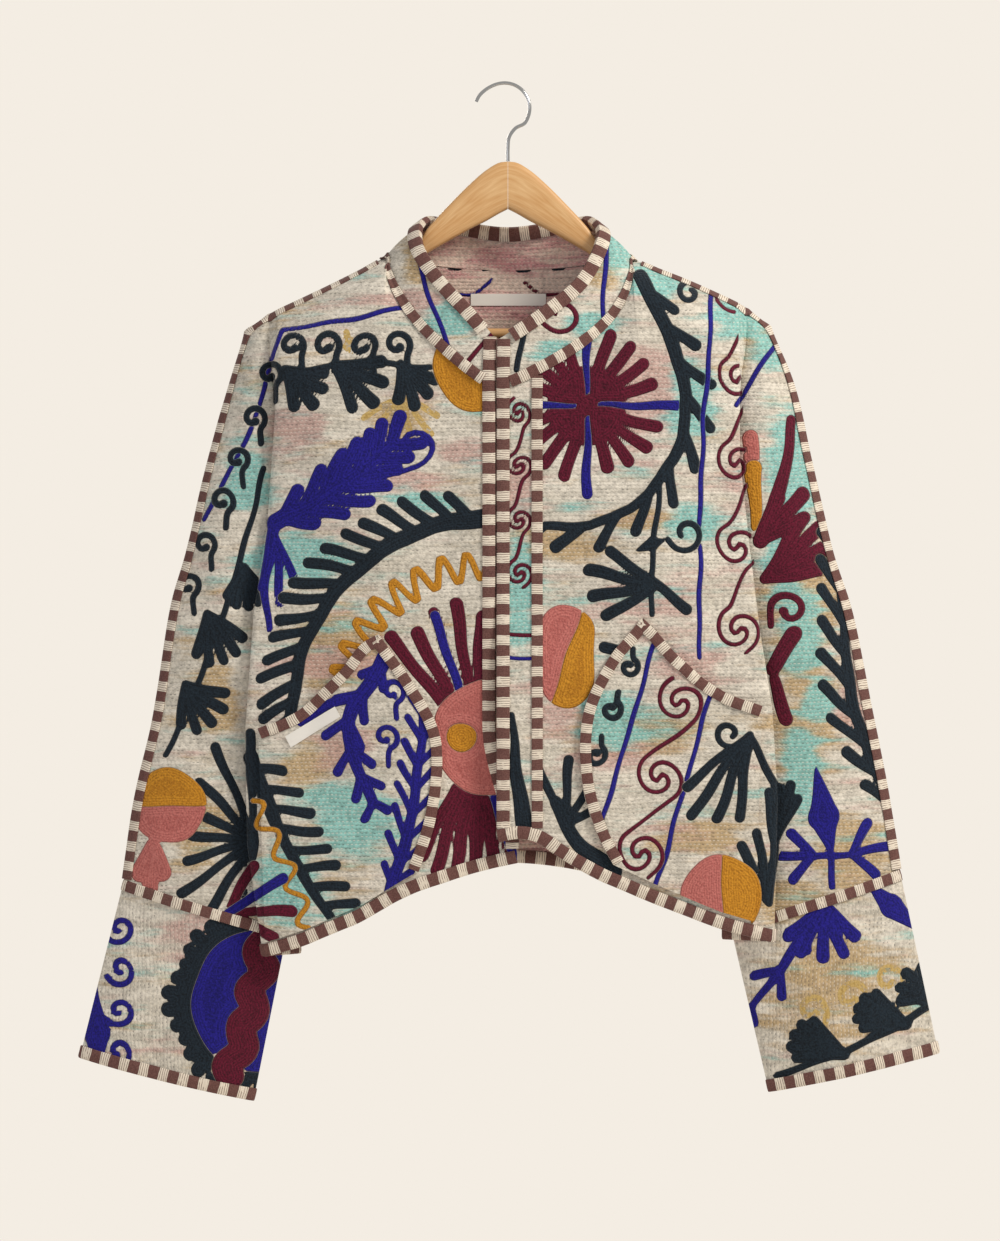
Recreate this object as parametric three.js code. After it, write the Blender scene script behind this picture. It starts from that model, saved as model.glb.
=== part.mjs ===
// Kantha jacket hanging on a wooden coat hanger, cut like a kimono: each front, and the back,
// runs on into its sleeve. Millimetres, +Z up, front toward -Y, wearer's left toward +X.
// The origin is the inside top of the hanger's hook.
import * as THREE from "three";

// ---------- driving dimensions ----------
const CLOTH_WALL = 2.4; // two layers of cotton held together by running stitch
const SEAM_GAP = 0.3; // between two pieces sewn edge to edge
const TAPE_WIDTH = 10; // striped cotton binding
const TAPE_THICK = 1.2;
const TAPE_LIFT = 0.6; // binding above the cloth that it lies on
const COLLAR_TAPE_LIFT = 1.4; // looser where the collar bends tightly beside the neck
const COLLAR_ROWS = 3;
const ROWS = 20; // shoulder to hem
const UNDERARM_ROW = 9; // below it the body and the sleeve part
const SHOULDER_COLUMNS = 4;
const FOLD_COLUMNS = 3; // round the fold that hangs from the hanger's end
const SLEEVE_COLUMNS = 6;
const CUFF_ROWS = 6;
const FRONT_DEPTH = 42; // front of the chest ahead of the hanger
const BACK_DEPTH = 36;
const SHOULDER_ROLL = 15; // how fast the cloth leaves the shoulder seam
const WOOD_THICK = 13;
const WIRE_RADIUS = 1.6;
const BAR_RADIUS = 4.5;

const PAINT = {
  cloth: { color: "#cfc4b2", roughness: 0.95, metalness: 0 },
  tape: { color: "#6b4440", roughness: 0.9, metalness: 0 },
  label: { color: "#f2efe9", roughness: 0.7, metalness: 0 },
  wood: { color: "#dfb27a", roughness: 0.5, metalness: 0 },
  wire: { color: "#c9ccd0", roughness: 0.2, metalness: 1 },
};

// A short table: the names of its columns, then its rows.
function table(names, rows) {
  const columns = names.split(" ");
  return rows.map((row) => Object.fromEntries(row.map((value, i) => [columns[i], value])));
}

// `out` is the distance from the middle of the jacket, `back` the depth behind the hanger.
const WEARERS_RIGHT = {
  name: "right",
  sign: -1,
  edge: 13, // the front's free edge
  edgeShift: 21, // how far that edge swings under the other front at the hem
  edgeLift: 0,
  bandColumns: 0,
  neckColumns: 8,
  neck: table("out z back", [
    [13, -277, -44],
    [29, -266, -44],
    [58, -242, -41],
    [84, -215, -35],
    [103, -186, -25],
    [110, -168, -13],
    [112, -158, 0],
  ]),
  shoulder: table("out z", [
    [112, -158],
    [174, -189],
    [206, -204],
    [236, -224],
  ]),
  foldOut: table("z out", [
    [-204, 206],
    [-300, 206],
    [-400, 213],
    [-480, 225],
    [-590, 233],
    [-690, 231],
    [-788, 217],
  ]),
  valleyDepth: [24, 27], // how far the side seam lies inside the fold: underarm, hem
  frontHem: table("out z", [
    [-9, -699],
    [12, -703],
    [39, -710],
    [87, -731],
    [130, -756],
    [184, -778],
    [217, -788],
  ]),
  overarm: table("out z", [
    [236, -224],
    [251, -272],
    [273, -350],
    [292, -430],
    [304, -472],
    [321, -576],
    [338, -648],
    [350, -727],
  ]),
  cuffInner: { out: 201, z: -772 },
  cuffHemOuter: { out: 389, z: -883 },
  cuffHemInner: { out: 231, z: -922 },
};

const WEARERS_LEFT = {
  name: "left",
  sign: 1,
  edge: -8.6,
  edgeShift: 0,
  edgeLift: 11, // the band bows forward at the hem
  bandColumns: 2, // the placket band
  bandSeam: 26,
  neckColumns: 9,
  neck: table("out z back", [
    [-8.6, -277, -46],
    [9, -270, -46],
    [34, -257, -44],
    [62, -240, -41],
    [92, -214, -33],
    [108, -187, -24],
    [113, -170, -13],
    [115, -160, 0],
  ]),
  shoulder: table("out z", [
    [115, -160],
    [155, -175],
    [187, -189],
    [206, -198],
    [236, -220],
  ]),
  foldOut: table("z out", [
    [-198, 206],
    [-284, 205],
    [-340, 205],
    [-414, 213],
    [-496, 223],
    [-566, 234],
    [-648, 239],
    [-774, 236],
  ]),
  valleyDepth: [24, 40],
  frontHem: table("out z", [
    [-9, -684],
    [19, -679],
    [34, -690],
    [76, -716],
    [131, -740],
    [191, -763],
    [236, -775],
  ]),
  overarm: table("out z", [
    [236, -220],
    [258, -273],
    [274, -341],
    [295, -429],
    [311, -479],
    [327, -557],
    [343, -635],
    [357, -718],
  ]),
  cuffInner: { out: 203, z: -768 },
  cuffHemOuter: { out: 391, z: -879 },
  cuffHemInner: { out: 237, z: -914 },
};

// The back is one piece; its neck and hem rise to the middle.
const BACK_NECK = table("out z back", [
  [0, -166, 38],
  [45, -164, 32],
  [85, -160, 21],
  [104, -158, 12],
]);
const BACK_NECK_COLUMNS = 6;
const BACK_HEM_RISE = 74; // middle of the back hem above its corners

// The free edge of the standing collar, from one front round the neck to the other.
const COLLAR_EDGE = table("x z back", [
  [-12, -233, -43],
  [-32, -210, -42],
  [-64, -174, -36],
  [-79, -149, -25],
  [-81, -130, -8],
  [-73, -121, 10],
  [-50, -122, 26],
  [0, -128, 34],
  [50, -122, 26],
  [74, -121, 10],
  [83, -130, -8],
  [81, -147, -25],
  [63, -181, -38],
  [26, -212, -45],
  [-8, -235, -46],
]);

// Soft folds of the hanging cloth: where each starts and ends, how far it stands out, half width.
const FRONT_FOLDS = table("x0 z0 x1 z1 height width", [
  [-190, -235, -120, -420, 5, 26],
  [-200, -400, -170, -640, -4, 24],
  [-96, -560, -80, -735, 5, 28],
  [-40, -600, -36, -712, -4, 20],
  [188, -230, 120, -430, 5, 26],
  [200, -430, 180, -660, -5, 24],
  [70, -540, 62, -716, 5, 26],
  [130, -600, 150, -745, -4, 26],
]);
const BACK_FOLDS = table("x0 z0 x1 z1 height width", [
  [-180, -240, -90, -460, 5, 28],
  [-60, -420, -52, -712, -5, 30],
  [-150, -520, -140, -750, 5, 28],
  [175, -235, 100, -480, 5, 28],
  [40, -480, 58, -712, 5, 30],
  [160, -560, 150, -750, -4, 26],
]);
const SLEEVE_FOLDS = table("x0 z0 x1 z1 height width", [
  [-285, -400, -235, -520, 4, 18],
  [-320, -560, -240, -640, -3, 16],
  [-345, -690, -250, -720, 3, 14],
  [290, -420, 240, -520, 4, 18],
  [325, -540, 245, -600, -3, 16],
  [350, -660, 255, -720, 3, 14],
]);

// ---------- small mathematics ----------
const lerp = THREE.MathUtils.lerp;
const smooth = (value, low, high) => THREE.MathUtils.smoothstep(value, low, high);

// A smooth curve through a table's rows, read by its share of the length.
function curveThrough(rows) {
  const points = rows.map((r) => {
    const across = r.out ?? r.x;
    return new THREE.Vector3(across, r.back ?? 0, r.z);
  });
  return new THREE.CatmullRomCurve3(points, false, "centripetal");
}

// A value read from a table at `at`, straight between its rows.
function lookup(rows, key, value, at) {
  const rising = rows[0][key] < rows.at(-1)[key];
  const sorted = rising ? rows : [...rows].reverse();
  const after = sorted.findIndex((row) => row[key] >= at);
  if (after === 0) return sorted[0][value];
  if (after < 0) return sorted.at(-1)[value];
  const [a, b] = [sorted[after - 1], sorted[after]];
  return lerp(a[value], b[value], (at - a[key]) / (b[key] - a[key]));
}

// How far the folds move the cloth outward at a place.
function foldHeight(folds, x, z) {
  let height = 0;
  for (const fold of folds) {
    const run = new THREE.Vector2(fold.x1 - fold.x0, fold.z1 - fold.z0);
    const from = new THREE.Vector2(x - fold.x0, z - fold.z0);
    const share = THREE.MathUtils.clamp(from.dot(run) / run.lengthSq(), 0, 1);
    const away = from.sub(run.multiplyScalar(share)).length();
    height += fold.height * Math.exp(-((away / fold.width) ** 2));
  }
  return height;
}

// ---------- the jacket's surface ----------
// All pieces share the vertices along their seams, so the cloth's direction is smooth there.
// `reach` makes up for a fold: it keeps a wall's thickness on the faces beside it.
const shell = { points: [], normals: [], reach: [], byPlace: new Map() };

function vertex(point) {
  const place = point.toArray().map((n) => Math.round(n * 1000)).join(" ");
  if (!shell.byPlace.has(place)) {
    shell.byPlace.set(place, shell.points.length);
    shell.points.push(point.clone());
    shell.normals.push(new THREE.Vector3());
    shell.reach.push(1);
  }
  return shell.byPlace.get(place);
}

// A piece is a list of four-sided faces, each listed outward.
function facesOfGrid(grid, outward) {
  const faces = [];
  for (let r = 0; r + 1 < grid.length; r++) {
    for (let c = 0; c + 1 < grid[r].length; c++) {
      const face = [grid[r][c], grid[r][c + 1], grid[r + 1][c + 1], grid[r + 1][c]];
      faces.push(outward ? face : face.reverse());
    }
  }
  return faces;
}

function faceNormal([a, b, c, d]) {
  const across = shell.points[c].clone().sub(shell.points[a]);
  const along = shell.points[d].clone().sub(shell.points[b]);
  return across.cross(along).normalize();
}

function findNormals(faces) {
  for (const face of faces) {
    for (const v of face) shell.normals[v].add(faceNormal(face));
  }
  shell.normals.forEach((normal) => normal.normalize());
  for (const face of faces) {
    for (const v of face) {
      const along = Math.max(0.68, shell.normals[v].dot(faceNormal(face)));
      shell.reach[v] = Math.max(shell.reach[v], 1 / along);
    }
  }
}

const insideOf = (v) =>
  shell.points[v].clone().addScaledVector(shell.normals[v], -CLOTH_WALL * shell.reach[v]);

const hemOut = (side, share) => lerp(side.edge, lookup(side.foldOut, "z", "out", -780), share);

// Top and bottom of each column of the body, from the middle to the fold.
function bodyEnds(side, face, column) {
  const front = face < 0;
  const neckColumns = front ? side.neckColumns : BACK_NECK_COLUMNS;
  const lastColumn = neckColumns + SHOULDER_COLUMNS;
  const neckPoint = side.neck.at(-1);
  const neckRows = front ? side.neck : [...BACK_NECK, neckPoint];
  const neck = curveThrough(neckRows);
  const shoulder = curveThrough(side.shoulder);
  const foldTop = shareWhere(shoulder, lookup(side.foldOut, "z", "out", -200));
  const band = front ? side.bandColumns : 0;
  const bandShare = band ? shareWhere(neck, side.bandSeam) : 0;
  let top;
  if (column <= band && band) {
    top = neck.getPointAt((bandShare * column) / band);
  } else if (column <= neckColumns) {
    top = neck.getPointAt(lerp(bandShare, 1, (column - band) / (neckColumns - band)));
  } else {
    const past = Math.min(column, lastColumn) - neckColumns;
    top = shoulder.getPointAt((foldTop * past) / SHOULDER_COLUMNS);
    // The fold's own columns follow on along the shoulder seam.
    const foldColumn = Math.max(0, column - lastColumn);
    if (foldColumn) {
      const share = lerp(foldTop, 1, foldColumn / (FOLD_COLUMNS + SLEEVE_COLUMNS));
      top = shoulder.getPointAt(share);
    }
  }
  const start = front ? side.edge : 0;
  const within = Math.min(column, lastColumn);
  let hem = lerp(start, hemOut(side, 1), within / lastColumn);
  if (band) {
    const seamOut = side.bandSeam;
    const pastBand = (within - band) / (lastColumn - band);
    hem = within <= band ? lerp(start, seamOut, within / band) : lerp(seamOut, hemOut(side, 1), pastBand);
  }
  return { top, hem, lastColumn };
}

// The share of a curve's length at which it reaches a distance out.
function shareWhere(curve, out) {
  let [low, high] = [0, 1];
  for (let step = 0; step < 24; step++) {
    const middle = (low + high) / 2;
    if (curve.getPointAt(middle).x < out) low = middle;
    else high = middle;
  }
  return low;
}

function hemHeight(side, face, out) {
  const corner = side.frontHem.at(-1);
  if (face < 0) return lookup(side.frontHem, "out", "z", Math.min(out, corner.out));
  const share = Math.min(1, out / corner.out);
  const middle = (WEARERS_RIGHT.frontHem.at(-1).z + WEARERS_LEFT.frontHem.at(-1).z) / 2 + BACK_HEM_RISE;
  return lerp(middle, corner.z, share ** 1.7);
}

// One vertex of the body, down to and round the fold at its side.
function bodyPoint(side, face, column, row) {
  const { top, hem, lastColumn } = bodyEnds(side, face, column);
  const v = row / ROWS;
  const foldColumn = Math.max(0, column - lastColumn);
  const across = Math.min(1, column / lastColumn);
  const bottomZ = foldColumn ? side.frontHem.at(-1).z : hemHeight(side, face, hem);
  const z = lerp(top.z, bottomZ, v);
  const edgeOut = lookup(side.foldOut, "z", "out", z);
  const hemWidth = hemOut(side, 1);
  const start = face < 0 ? side.edge : 0;
  let hanging = hem;
  if (face > 0 || hem > (side.bandSeam ?? start)) {
    const inner = face < 0 ? (side.bandSeam ?? start) : 0;
    hanging = lerp(inner, edgeOut, (hem - inner) / (hemWidth - inner));
  }
  const settle = smooth(v, 0, 0.45);
  let out = lerp(top.x, hanging, settle);

  // Depth: off the shoulder, then hanging, turned back toward the side.
  const full = face < 0 ? FRONT_DEPTH : BACK_DEPTH;
  const hang = full * (0.94 + 0.06 * Math.cos((z + 400) / 130)) * (1 - 0.28 * across ** 5);
  const roll = Math.exp(-(top.z - z) / SHOULDER_ROLL);
  const topDepth = Math.abs(top.y);
  let depth = lerp(hang, topDepth, roll);
  const free = smooth(v, 0, 0.12);
  const folds = face < 0 ? FRONT_FOLDS : BACK_FOLDS;
  depth += free * foldHeight(folds, side.sign * out, z);
  if (face < 0) {
    const nearEdge = 1 - smooth(out, side.edge, side.edge + 90);
    depth += nearEdge * side.edgeLift * smooth(-z, 430, 590);
    out -= side.edgeShift * nearEdge * smooth(-z, 580, 690);
  }
  if (!foldColumn) return new THREE.Vector3(side.sign * out, face * depth, z);

  // Round the fold and in to the side seam.
  const opened = lerp(edgeOut, top.x, 1 - smooth(v, 0, 0.08)) + 4 * foldColumn * smooth(v, 0, 0.08);
  const strength = smooth(row, 0, UNDERARM_ROW - 1);
  const past = Math.max(0, (row - UNDERARM_ROW) / (ROWS - UNDERARM_ROW));
  const seamOut = edgeOut - lerp(side.valleyDepth[0], side.valleyDepth[1], past);
  const seamDepth = row >= UNDERARM_ROW ? 0 : lerp(12, 3.4, row / (UNDERARM_ROW - 1)) * smooth(v, 0, 0.05);
  const folded = [
    { out: edgeOut + 4, depth: depth * 0.84 },
    { out: edgeOut - 5, depth: depth * 0.66 },
    { out: seamOut, depth: seamDepth },
  ][foldColumn - 1];
  const flatDepth = depth * (1 - 0.16 * foldColumn);
  const seam = foldColumn === FOLD_COLUMNS;
  return new THREE.Vector3(
    side.sign * lerp(opened, folded.out, strength),
    face * (seam ? lerp(flatDepth, folded.depth, smooth(row, 0, 4)) : lerp(flatDepth, folded.depth, strength)),
    z,
  );
}

// A flattened ring of sleeve between its inner and its outer edge, at a share across.
function sleeveRing(inner, outer, height, share, face, sign) {
  const out = lerp(inner.x, outer.x, share);
  const z = lerp(inner.z, outer.z, share);
  const belly = Math.sin(Math.PI * share) ** 0.75;
  const folds = foldHeight(SLEEVE_FOLDS, sign * out, z) * belly;
  const depth = lerp(inner.depth, 0, share) + height * belly + folds * Math.min(1, height / 12);
  return new THREE.Vector3(sign * out, face * depth, z);
}

function sleevePoint(side, face, column, row) {
  const v = row / ROWS;
  const outer = curveThrough(side.overarm).getPointAt(v);
  const share = column / SLEEVE_COLUMNS;
  let inner;
  if (row <= UNDERARM_ROW) {
    const bodyColumn = bodyEnds(side, face, 0).lastColumn + FOLD_COLUMNS;
    const seam = bodyPoint(side, face, bodyColumn, row);
    if (column === 0) return seam;
    inner = { x: Math.abs(seam.x), z: seam.z, depth: Math.abs(seam.y) };
  } else {
    const bodyColumn = bodyEnds(side, face, 0).lastColumn + FOLD_COLUMNS;
    const underarm = bodyPoint(side, face, bodyColumn, UNDERARM_ROW);
    const down = (row - UNDERARM_ROW) / (ROWS - UNDERARM_ROW);
    const bow = 7 * Math.sin(Math.PI * Math.min(1, down * 1.4)) * (down < 0.714 ? 1 : 0);
    const x = lerp(Math.abs(underarm.x), side.cuffInner.out, down) + bow;
    inner = { x, z: lerp(underarm.z, side.cuffInner.z, down), depth: 0 };
  }
  const height = lerp(7, 17, smooth(v, 0, 0.3));
  if (row === 0) {
    const shoulder = curveThrough(side.shoulder);
    const foldTop = shareWhere(shoulder, lookup(side.foldOut, "z", "out", -200));
    const along = (FOLD_COLUMNS + column) / (FOLD_COLUMNS + SLEEVE_COLUMNS);
    const seam = shoulder.getPointAt(lerp(foldTop, 1, along));
    return new THREE.Vector3(side.sign * seam.x, 0, seam.z);
  }
  return sleeveRing(inner, outer, height, share, face, side.sign);
}

// Front or back of one side: its grid of vertices on the body and on the sleeve.
function sheet(side, face) {
  const { lastColumn } = bodyEnds(side, face, 0);
  const body = [];
  const sleeve = [];
  for (let row = 0; row <= ROWS; row++) {
    const bodyRow = [];
    for (let column = 0; column <= lastColumn + FOLD_COLUMNS; column++) {
      bodyRow.push(vertex(bodyPoint(side, face, column, row)));
    }
    const sleeveRow = [];
    for (let column = 0; column <= SLEEVE_COLUMNS; column++) {
      sleeveRow.push(vertex(sleevePoint(side, face, column, row)));
    }
    body.push(bodyRow);
    sleeve.push(sleeveRow);
  }
  const outward = side.sign * face > 0;
  return { side, face, body, sleeve, outward, faces: [...facesOfGrid(body, outward), ...facesOfGrid(sleeve, outward)] };
}

function cuffSheet(side) {
  const top = curveThrough(side.overarm).getPointAt(1);
  const grid = [];
  for (let row = 0; row <= CUFF_ROWS; row++) {
    const down = row / CUFF_ROWS;
    const inner = {
      x: lerp(side.cuffInner.out, side.cuffHemInner.out, down),
      z: lerp(side.cuffInner.z, side.cuffHemInner.z, down),
      depth: 0,
    };
    const outer = { x: lerp(top.x, side.cuffHemOuter.out, down), z: lerp(top.z, side.cuffHemOuter.z, down) };
    const ring = [];
    for (let step = 0; step < 2 * SLEEVE_COLUMNS; step++) {
      const face = step < SLEEVE_COLUMNS ? -1 : 1;
      const share = face < 0 ? step / SLEEVE_COLUMNS : 2 - step / SLEEVE_COLUMNS;
      ring.push(vertex(sleeveRing(inner, outer, 17, share, face, side.sign)));
    }
    ring.push(ring[0]);
    grid.push(ring);
  }
  return { side, grid, faces: facesOfGrid(grid, side.sign < 0) };
}

// The collar's lower edge is the neck seam: one front, the back, the other front.
function collarSheet(frontRight, frontLeft, backRight, backLeft) {
  const neckOf = (piece, columns) => piece.body[0].slice(0, columns + 1);
  const seam = [
    ...neckOf(frontRight, WEARERS_RIGHT.neckColumns),
    ...neckOf(backRight, BACK_NECK_COLUMNS).reverse().slice(1),
    ...neckOf(backLeft, BACK_NECK_COLUMNS).slice(1),
    ...neckOf(frontLeft, WEARERS_LEFT.neckColumns).reverse().slice(1),
  ];
  const edge = curveThrough(COLLAR_EDGE);
  const grid = [seam];
  for (let row = 1; row <= COLLAR_ROWS; row++) {
    const up = row / COLLAR_ROWS;
    const line = seam.map((v, i) => {
      const share = i / (seam.length - 1);
      const free = edge.getPointAt(share);
      const point = shell.points[v].clone().lerp(free, up);
      const outward = new THREE.Vector3(point.x, point.y, 0).normalize();
      point.addScaledVector(outward, 4 * Math.sin(Math.PI * up) * Math.sin(Math.PI * share));
      return vertex(point);
    });
    grid.push(line);
  }
  return { grid, faces: facesOfGrid(grid, false) };
}

// ---------- solids ----------
const jacket = new THREE.Group();

function addSolid(name, points, triangles, paint) {
  let volume = 0;
  for (const [a, b, c] of triangles) {
    volume += points[a].dot(points[b].clone().cross(points[c]));
  }
  const listed = volume < 0 ? triangles.map(([a, b, c]) => [a, c, b]) : triangles;
  const geometry = new THREE.BufferGeometry();
  const places = points.flatMap((p) => p.toArray());
  geometry.setAttribute("position", new THREE.Float32BufferAttribute(places, 3));
  geometry.setIndex(listed.flat());
  geometry.computeVertexNormals();
  const mesh = new THREE.Mesh(geometry, new THREE.MeshStandardMaterial(PAINT[paint]));
  mesh.name = name;
  jacket.add(mesh);
}

// The free edges of a list of faces, and each edge vertex's step into the piece: as long as
// it has to be for the edges on both sides of it to move in by 1.
function boundaryOf(faces) {
  const used = new Map();
  for (const face of faces) {
    face.forEach((v, i) => {
      const w = face[(i + 1) % face.length];
      const key = v < w ? v + " " + w : w + " " + v;
      if (used.has(key)) used.delete(key);
      else used.set(key, { v, w, face });
    });
  }
  const edges = [...used.values()];
  const beside = new Map(edges.map(({ v }) => [v, []]));
  for (const { v, w, face } of edges) {
    const [from, to] = [shell.points[v], shell.points[w]];
    const middle = new THREE.Vector3();
    face.forEach((corner) => middle.addScaledVector(shell.points[corner], 1 / face.length));
    const inward = middle.sub(from);
    const run = to.clone().sub(from).normalize();
    inward.addScaledVector(run, -inward.dot(run)).normalize();
    beside.get(v).push(inward);
    beside.get(w).push(inward);
  }
  const inward = new Map();
  for (const [v, [first, second]] of beside) {
    const step = first.clone().add(second);
    inward.set(v, step.divideScalar(Math.max(0.3, 1 + first.dot(second))));
  }
  return { edges, inward };
}

// A piece of cloth: its faces outside, the same faces one wall further in, and its edges.
function addCloth(name, faces, paint = "cloth") {
  const { edges, inward } = boundaryOf(faces);
  const index = new Map();
  const points = [];
  for (const v of new Set(faces.flat())) {
    index.set(v, points.length);
    const [outer, inner] = [shell.points[v].clone(), insideOf(v)];
    for (const point of inward.has(v) ? [outer, inner] : []) {
      point.addScaledVector(inward.get(v), SEAM_GAP / 2);
    }
    points.push(outer, inner);
  }
  const triangles = [];
  for (const face of faces) {
    const [a, b, c, d] = face.map((v) => index.get(v));
    triangles.push([a, b, c], [a, c, d]);
    triangles.push([a + 1, c + 1, b + 1], [a + 1, d + 1, c + 1]);
  }
  for (const { v, w } of edges) {
    // Both pieces of a seam split their edge faces alike.
    const [a, b] = [index.get(v), index.get(w)];
    if (v < w) triangles.push([b, a, a + 1], [b, a + 1, b + 1]);
    else triangles.push([b, a, b + 1], [a, a + 1, b + 1]);
  }
  addSolid(name, points, triangles, paint);
}

// A strip from section to section; `caps` lists the four-sided parts of its end faces.
function addStrip(name, sections, caps, closed, paint) {
  const size = sections[0].length;
  const points = sections.flat();
  const triangles = [];
  const last = closed ? sections.length : sections.length - 1;
  for (let s = 0; s < last; s++) {
    const [here, there] = [s * size, ((s + 1) % sections.length) * size];
    for (let i = 0; i < size; i++) {
      const j = (i + 1) % size;
      triangles.push([here + i, here + j, there + j], [here + i, there + j, there + i]);
    }
  }
  if (!closed) {
    const end = (sections.length - 1) * size;
    for (const [a, b, c, d] of caps) {
      triangles.push([a, c, b], [a, d, c]);
      triangles.push([end + a, end + b, end + c], [end + a, end + c, end + d]);
    }
  }
  addSolid(name, points, triangles, paint);
}

// ---------- bindings ----------
// A stop is a vertex of the cloth with the directions to its neighbours on either side.
function stop(v, toward, beyond) {
  const point = shell.points[v];
  const direction = (w) => shell.points[w].clone().sub(point).normalize();
  return {
    point: point.clone(),
    normal: shell.normals[v].clone(),
    reach: shell.reach[v],
    inner: insideOf(v),
    innerA: insideOf(toward).sub(insideOf(v)).normalize(),
    a: direction(toward),
    b: beyond === undefined ? undefined : direction(beyond),
  };
}

// The stop a share of the way from one to the next.
function stopBetween(s, t, share) {
  const mix = (key) => s[key].clone().lerp(t[key], share);
  const made = { point: mix("point"), inner: mix("inner"), reach: lerp(s.reach, t.reach, share) };
  for (const key of ["normal", "a", "innerA"]) made[key] = mix(key).normalize();
  if (s.b && t.b) made.b = mix("b").normalize();
  return made;
}

// Cuts a length off both ends of a line of stops.
function trimmed(stops, fromStart, fromEnd) {
  const cut = (line, length) => {
    let left = length;
    let first = 0;
    while (line[first].point.distanceTo(line[first + 1].point) <= left) {
      left -= line[first].point.distanceTo(line[first + 1].point);
      first += 1;
    }
    const share = left / line[first].point.distanceTo(line[first + 1].point);
    return [stopBetween(line[first], line[first + 1], share), ...line.slice(first + 1)];
  };
  const open = fromStart ? cut(stops, fromStart) : stops;
  return fromEnd ? cut([...open].reverse(), fromEnd).reverse() : open;
}

const square = (normal, direction) =>
  normal.clone().addScaledVector(direction, -normal.dot(direction)).normalize();

// A tape that lies over a seam, half on each side.
function addSeamTape(name, stops, closed = false, lift = TAPE_LIFT) {
  const half = TAPE_WIDTH / 2;
  const sections = stops.map(({ point, normal, a, b }) => {
    const [na, nb] = [square(normal, a), square(normal, b)];
    const ridge = 1 / Math.max(0.5, Math.min(normal.dot(na), normal.dot(nb)));
    const at = (side, up, lift) => point.clone().addScaledVector(side, half).addScaledVector(up, lift);
    const middle = (lift) => point.clone().addScaledVector(normal, lift * ridge);
    const [low, high] = [lift, lift + TAPE_THICK];
    return [at(a, na, low), middle(low), at(b, nb, low), at(b, nb, high), middle(high), at(a, na, high)];
  });
  addStrip(name, sections, [[0, 1, 4, 5], [1, 2, 3, 4]], closed, "tape");
}

// A tape folded over a free edge, with a leg on each face of the cloth.
function addEdgeTape(name, stops, closed = false, lift = TAPE_LIFT) {
  const sections = stops.map(({ point, inner, normal, a, innerA, reach }) => {
    const up = square(normal, a).multiplyScalar(reach);
    const down = square(normal, innerA).multiplyScalar(-reach);
    const over = (along, lift) => point.clone().addScaledVector(a, along).addScaledVector(up, lift);
    const under = (along, lift) => inner.clone().addScaledVector(innerA, along).addScaledVector(down, lift);
    const [low, high] = [lift, lift + TAPE_THICK];
    return [
      over(TAPE_WIDTH, low),
      over(TAPE_WIDTH, high),
      over(-high, high),
      under(-high, high),
      under(TAPE_WIDTH, high),
      under(TAPE_WIDTH, low),
      under(-low, low),
      over(-low, low),
    ];
  });
  addStrip(name, sections, [[0, 1, 2, 7], [7, 2, 3, 6], [6, 3, 4, 5]], closed, "tape");
}

// ---------- pieces laid on the fronts ----------
// A pocket runs from the side to an apex and down to the hem; `out` and z of its corners.
const POCKET_OF_RIGHT = {
  mouth: table("out z", [[224, -584], [190, -569], [150, -532], [131, -508], [116, -499]]),
  inner: table("out z", [[116, -499], [84, -545], [64, -582], [60, -618], [66, -668], [80, -712]]),
};
const POCKET_OF_LEFT = {
  mouth: table("out z", [[228, -564], [190, -549], [155, -522], [134, -498], [120, -484]]),
  inner: table("out z", [[120, -484], [88, -524], [67, -570], [66, -632], [80, -680], [94, -706]]),
};
const POCKET_LIFT = 1.5;
const POCKET_WALL = 2;
const POCKET_STEPS = 8;

// The outer face of a front or the back at a place, and its direction there.
function onCloth(piece, out, z) {
  const x = piece.side.sign * out;
  for (const face of piece.faces) {
    const halves = [face.slice(0, 3), [face[0], face[2], face[3]]];
    for (const corners of halves) {
      const [a, b, c] = corners.map((v) => shell.points[v]);
      const area = (b.x - a.x) * (c.z - a.z) - (c.x - a.x) * (b.z - a.z);
      const wb = ((x - a.x) * (c.z - a.z) - (c.x - a.x) * (z - a.z)) / area;
      const wc = ((b.x - a.x) * (z - a.z) - (x - a.x) * (b.z - a.z)) / area;
      const wa = 1 - wb - wc;
      const facing = b.clone().sub(a).cross(c.clone().sub(a)).y * piece.face > 0;
      if (Math.min(wa, wb, wc) < -1e-6 || !facing) continue;
      const mix = (values) => {
        const [p, q, r] = corners.map((v) => values[v]);
        return p.clone().multiplyScalar(wa).addScaledVector(q, wb).addScaledVector(r, wc);
      };
      return { point: mix(shell.points), normal: mix(shell.normals).normalize() };
    }
  }
  throw new Error("no cloth under " + x + " " + z);
}

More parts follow.
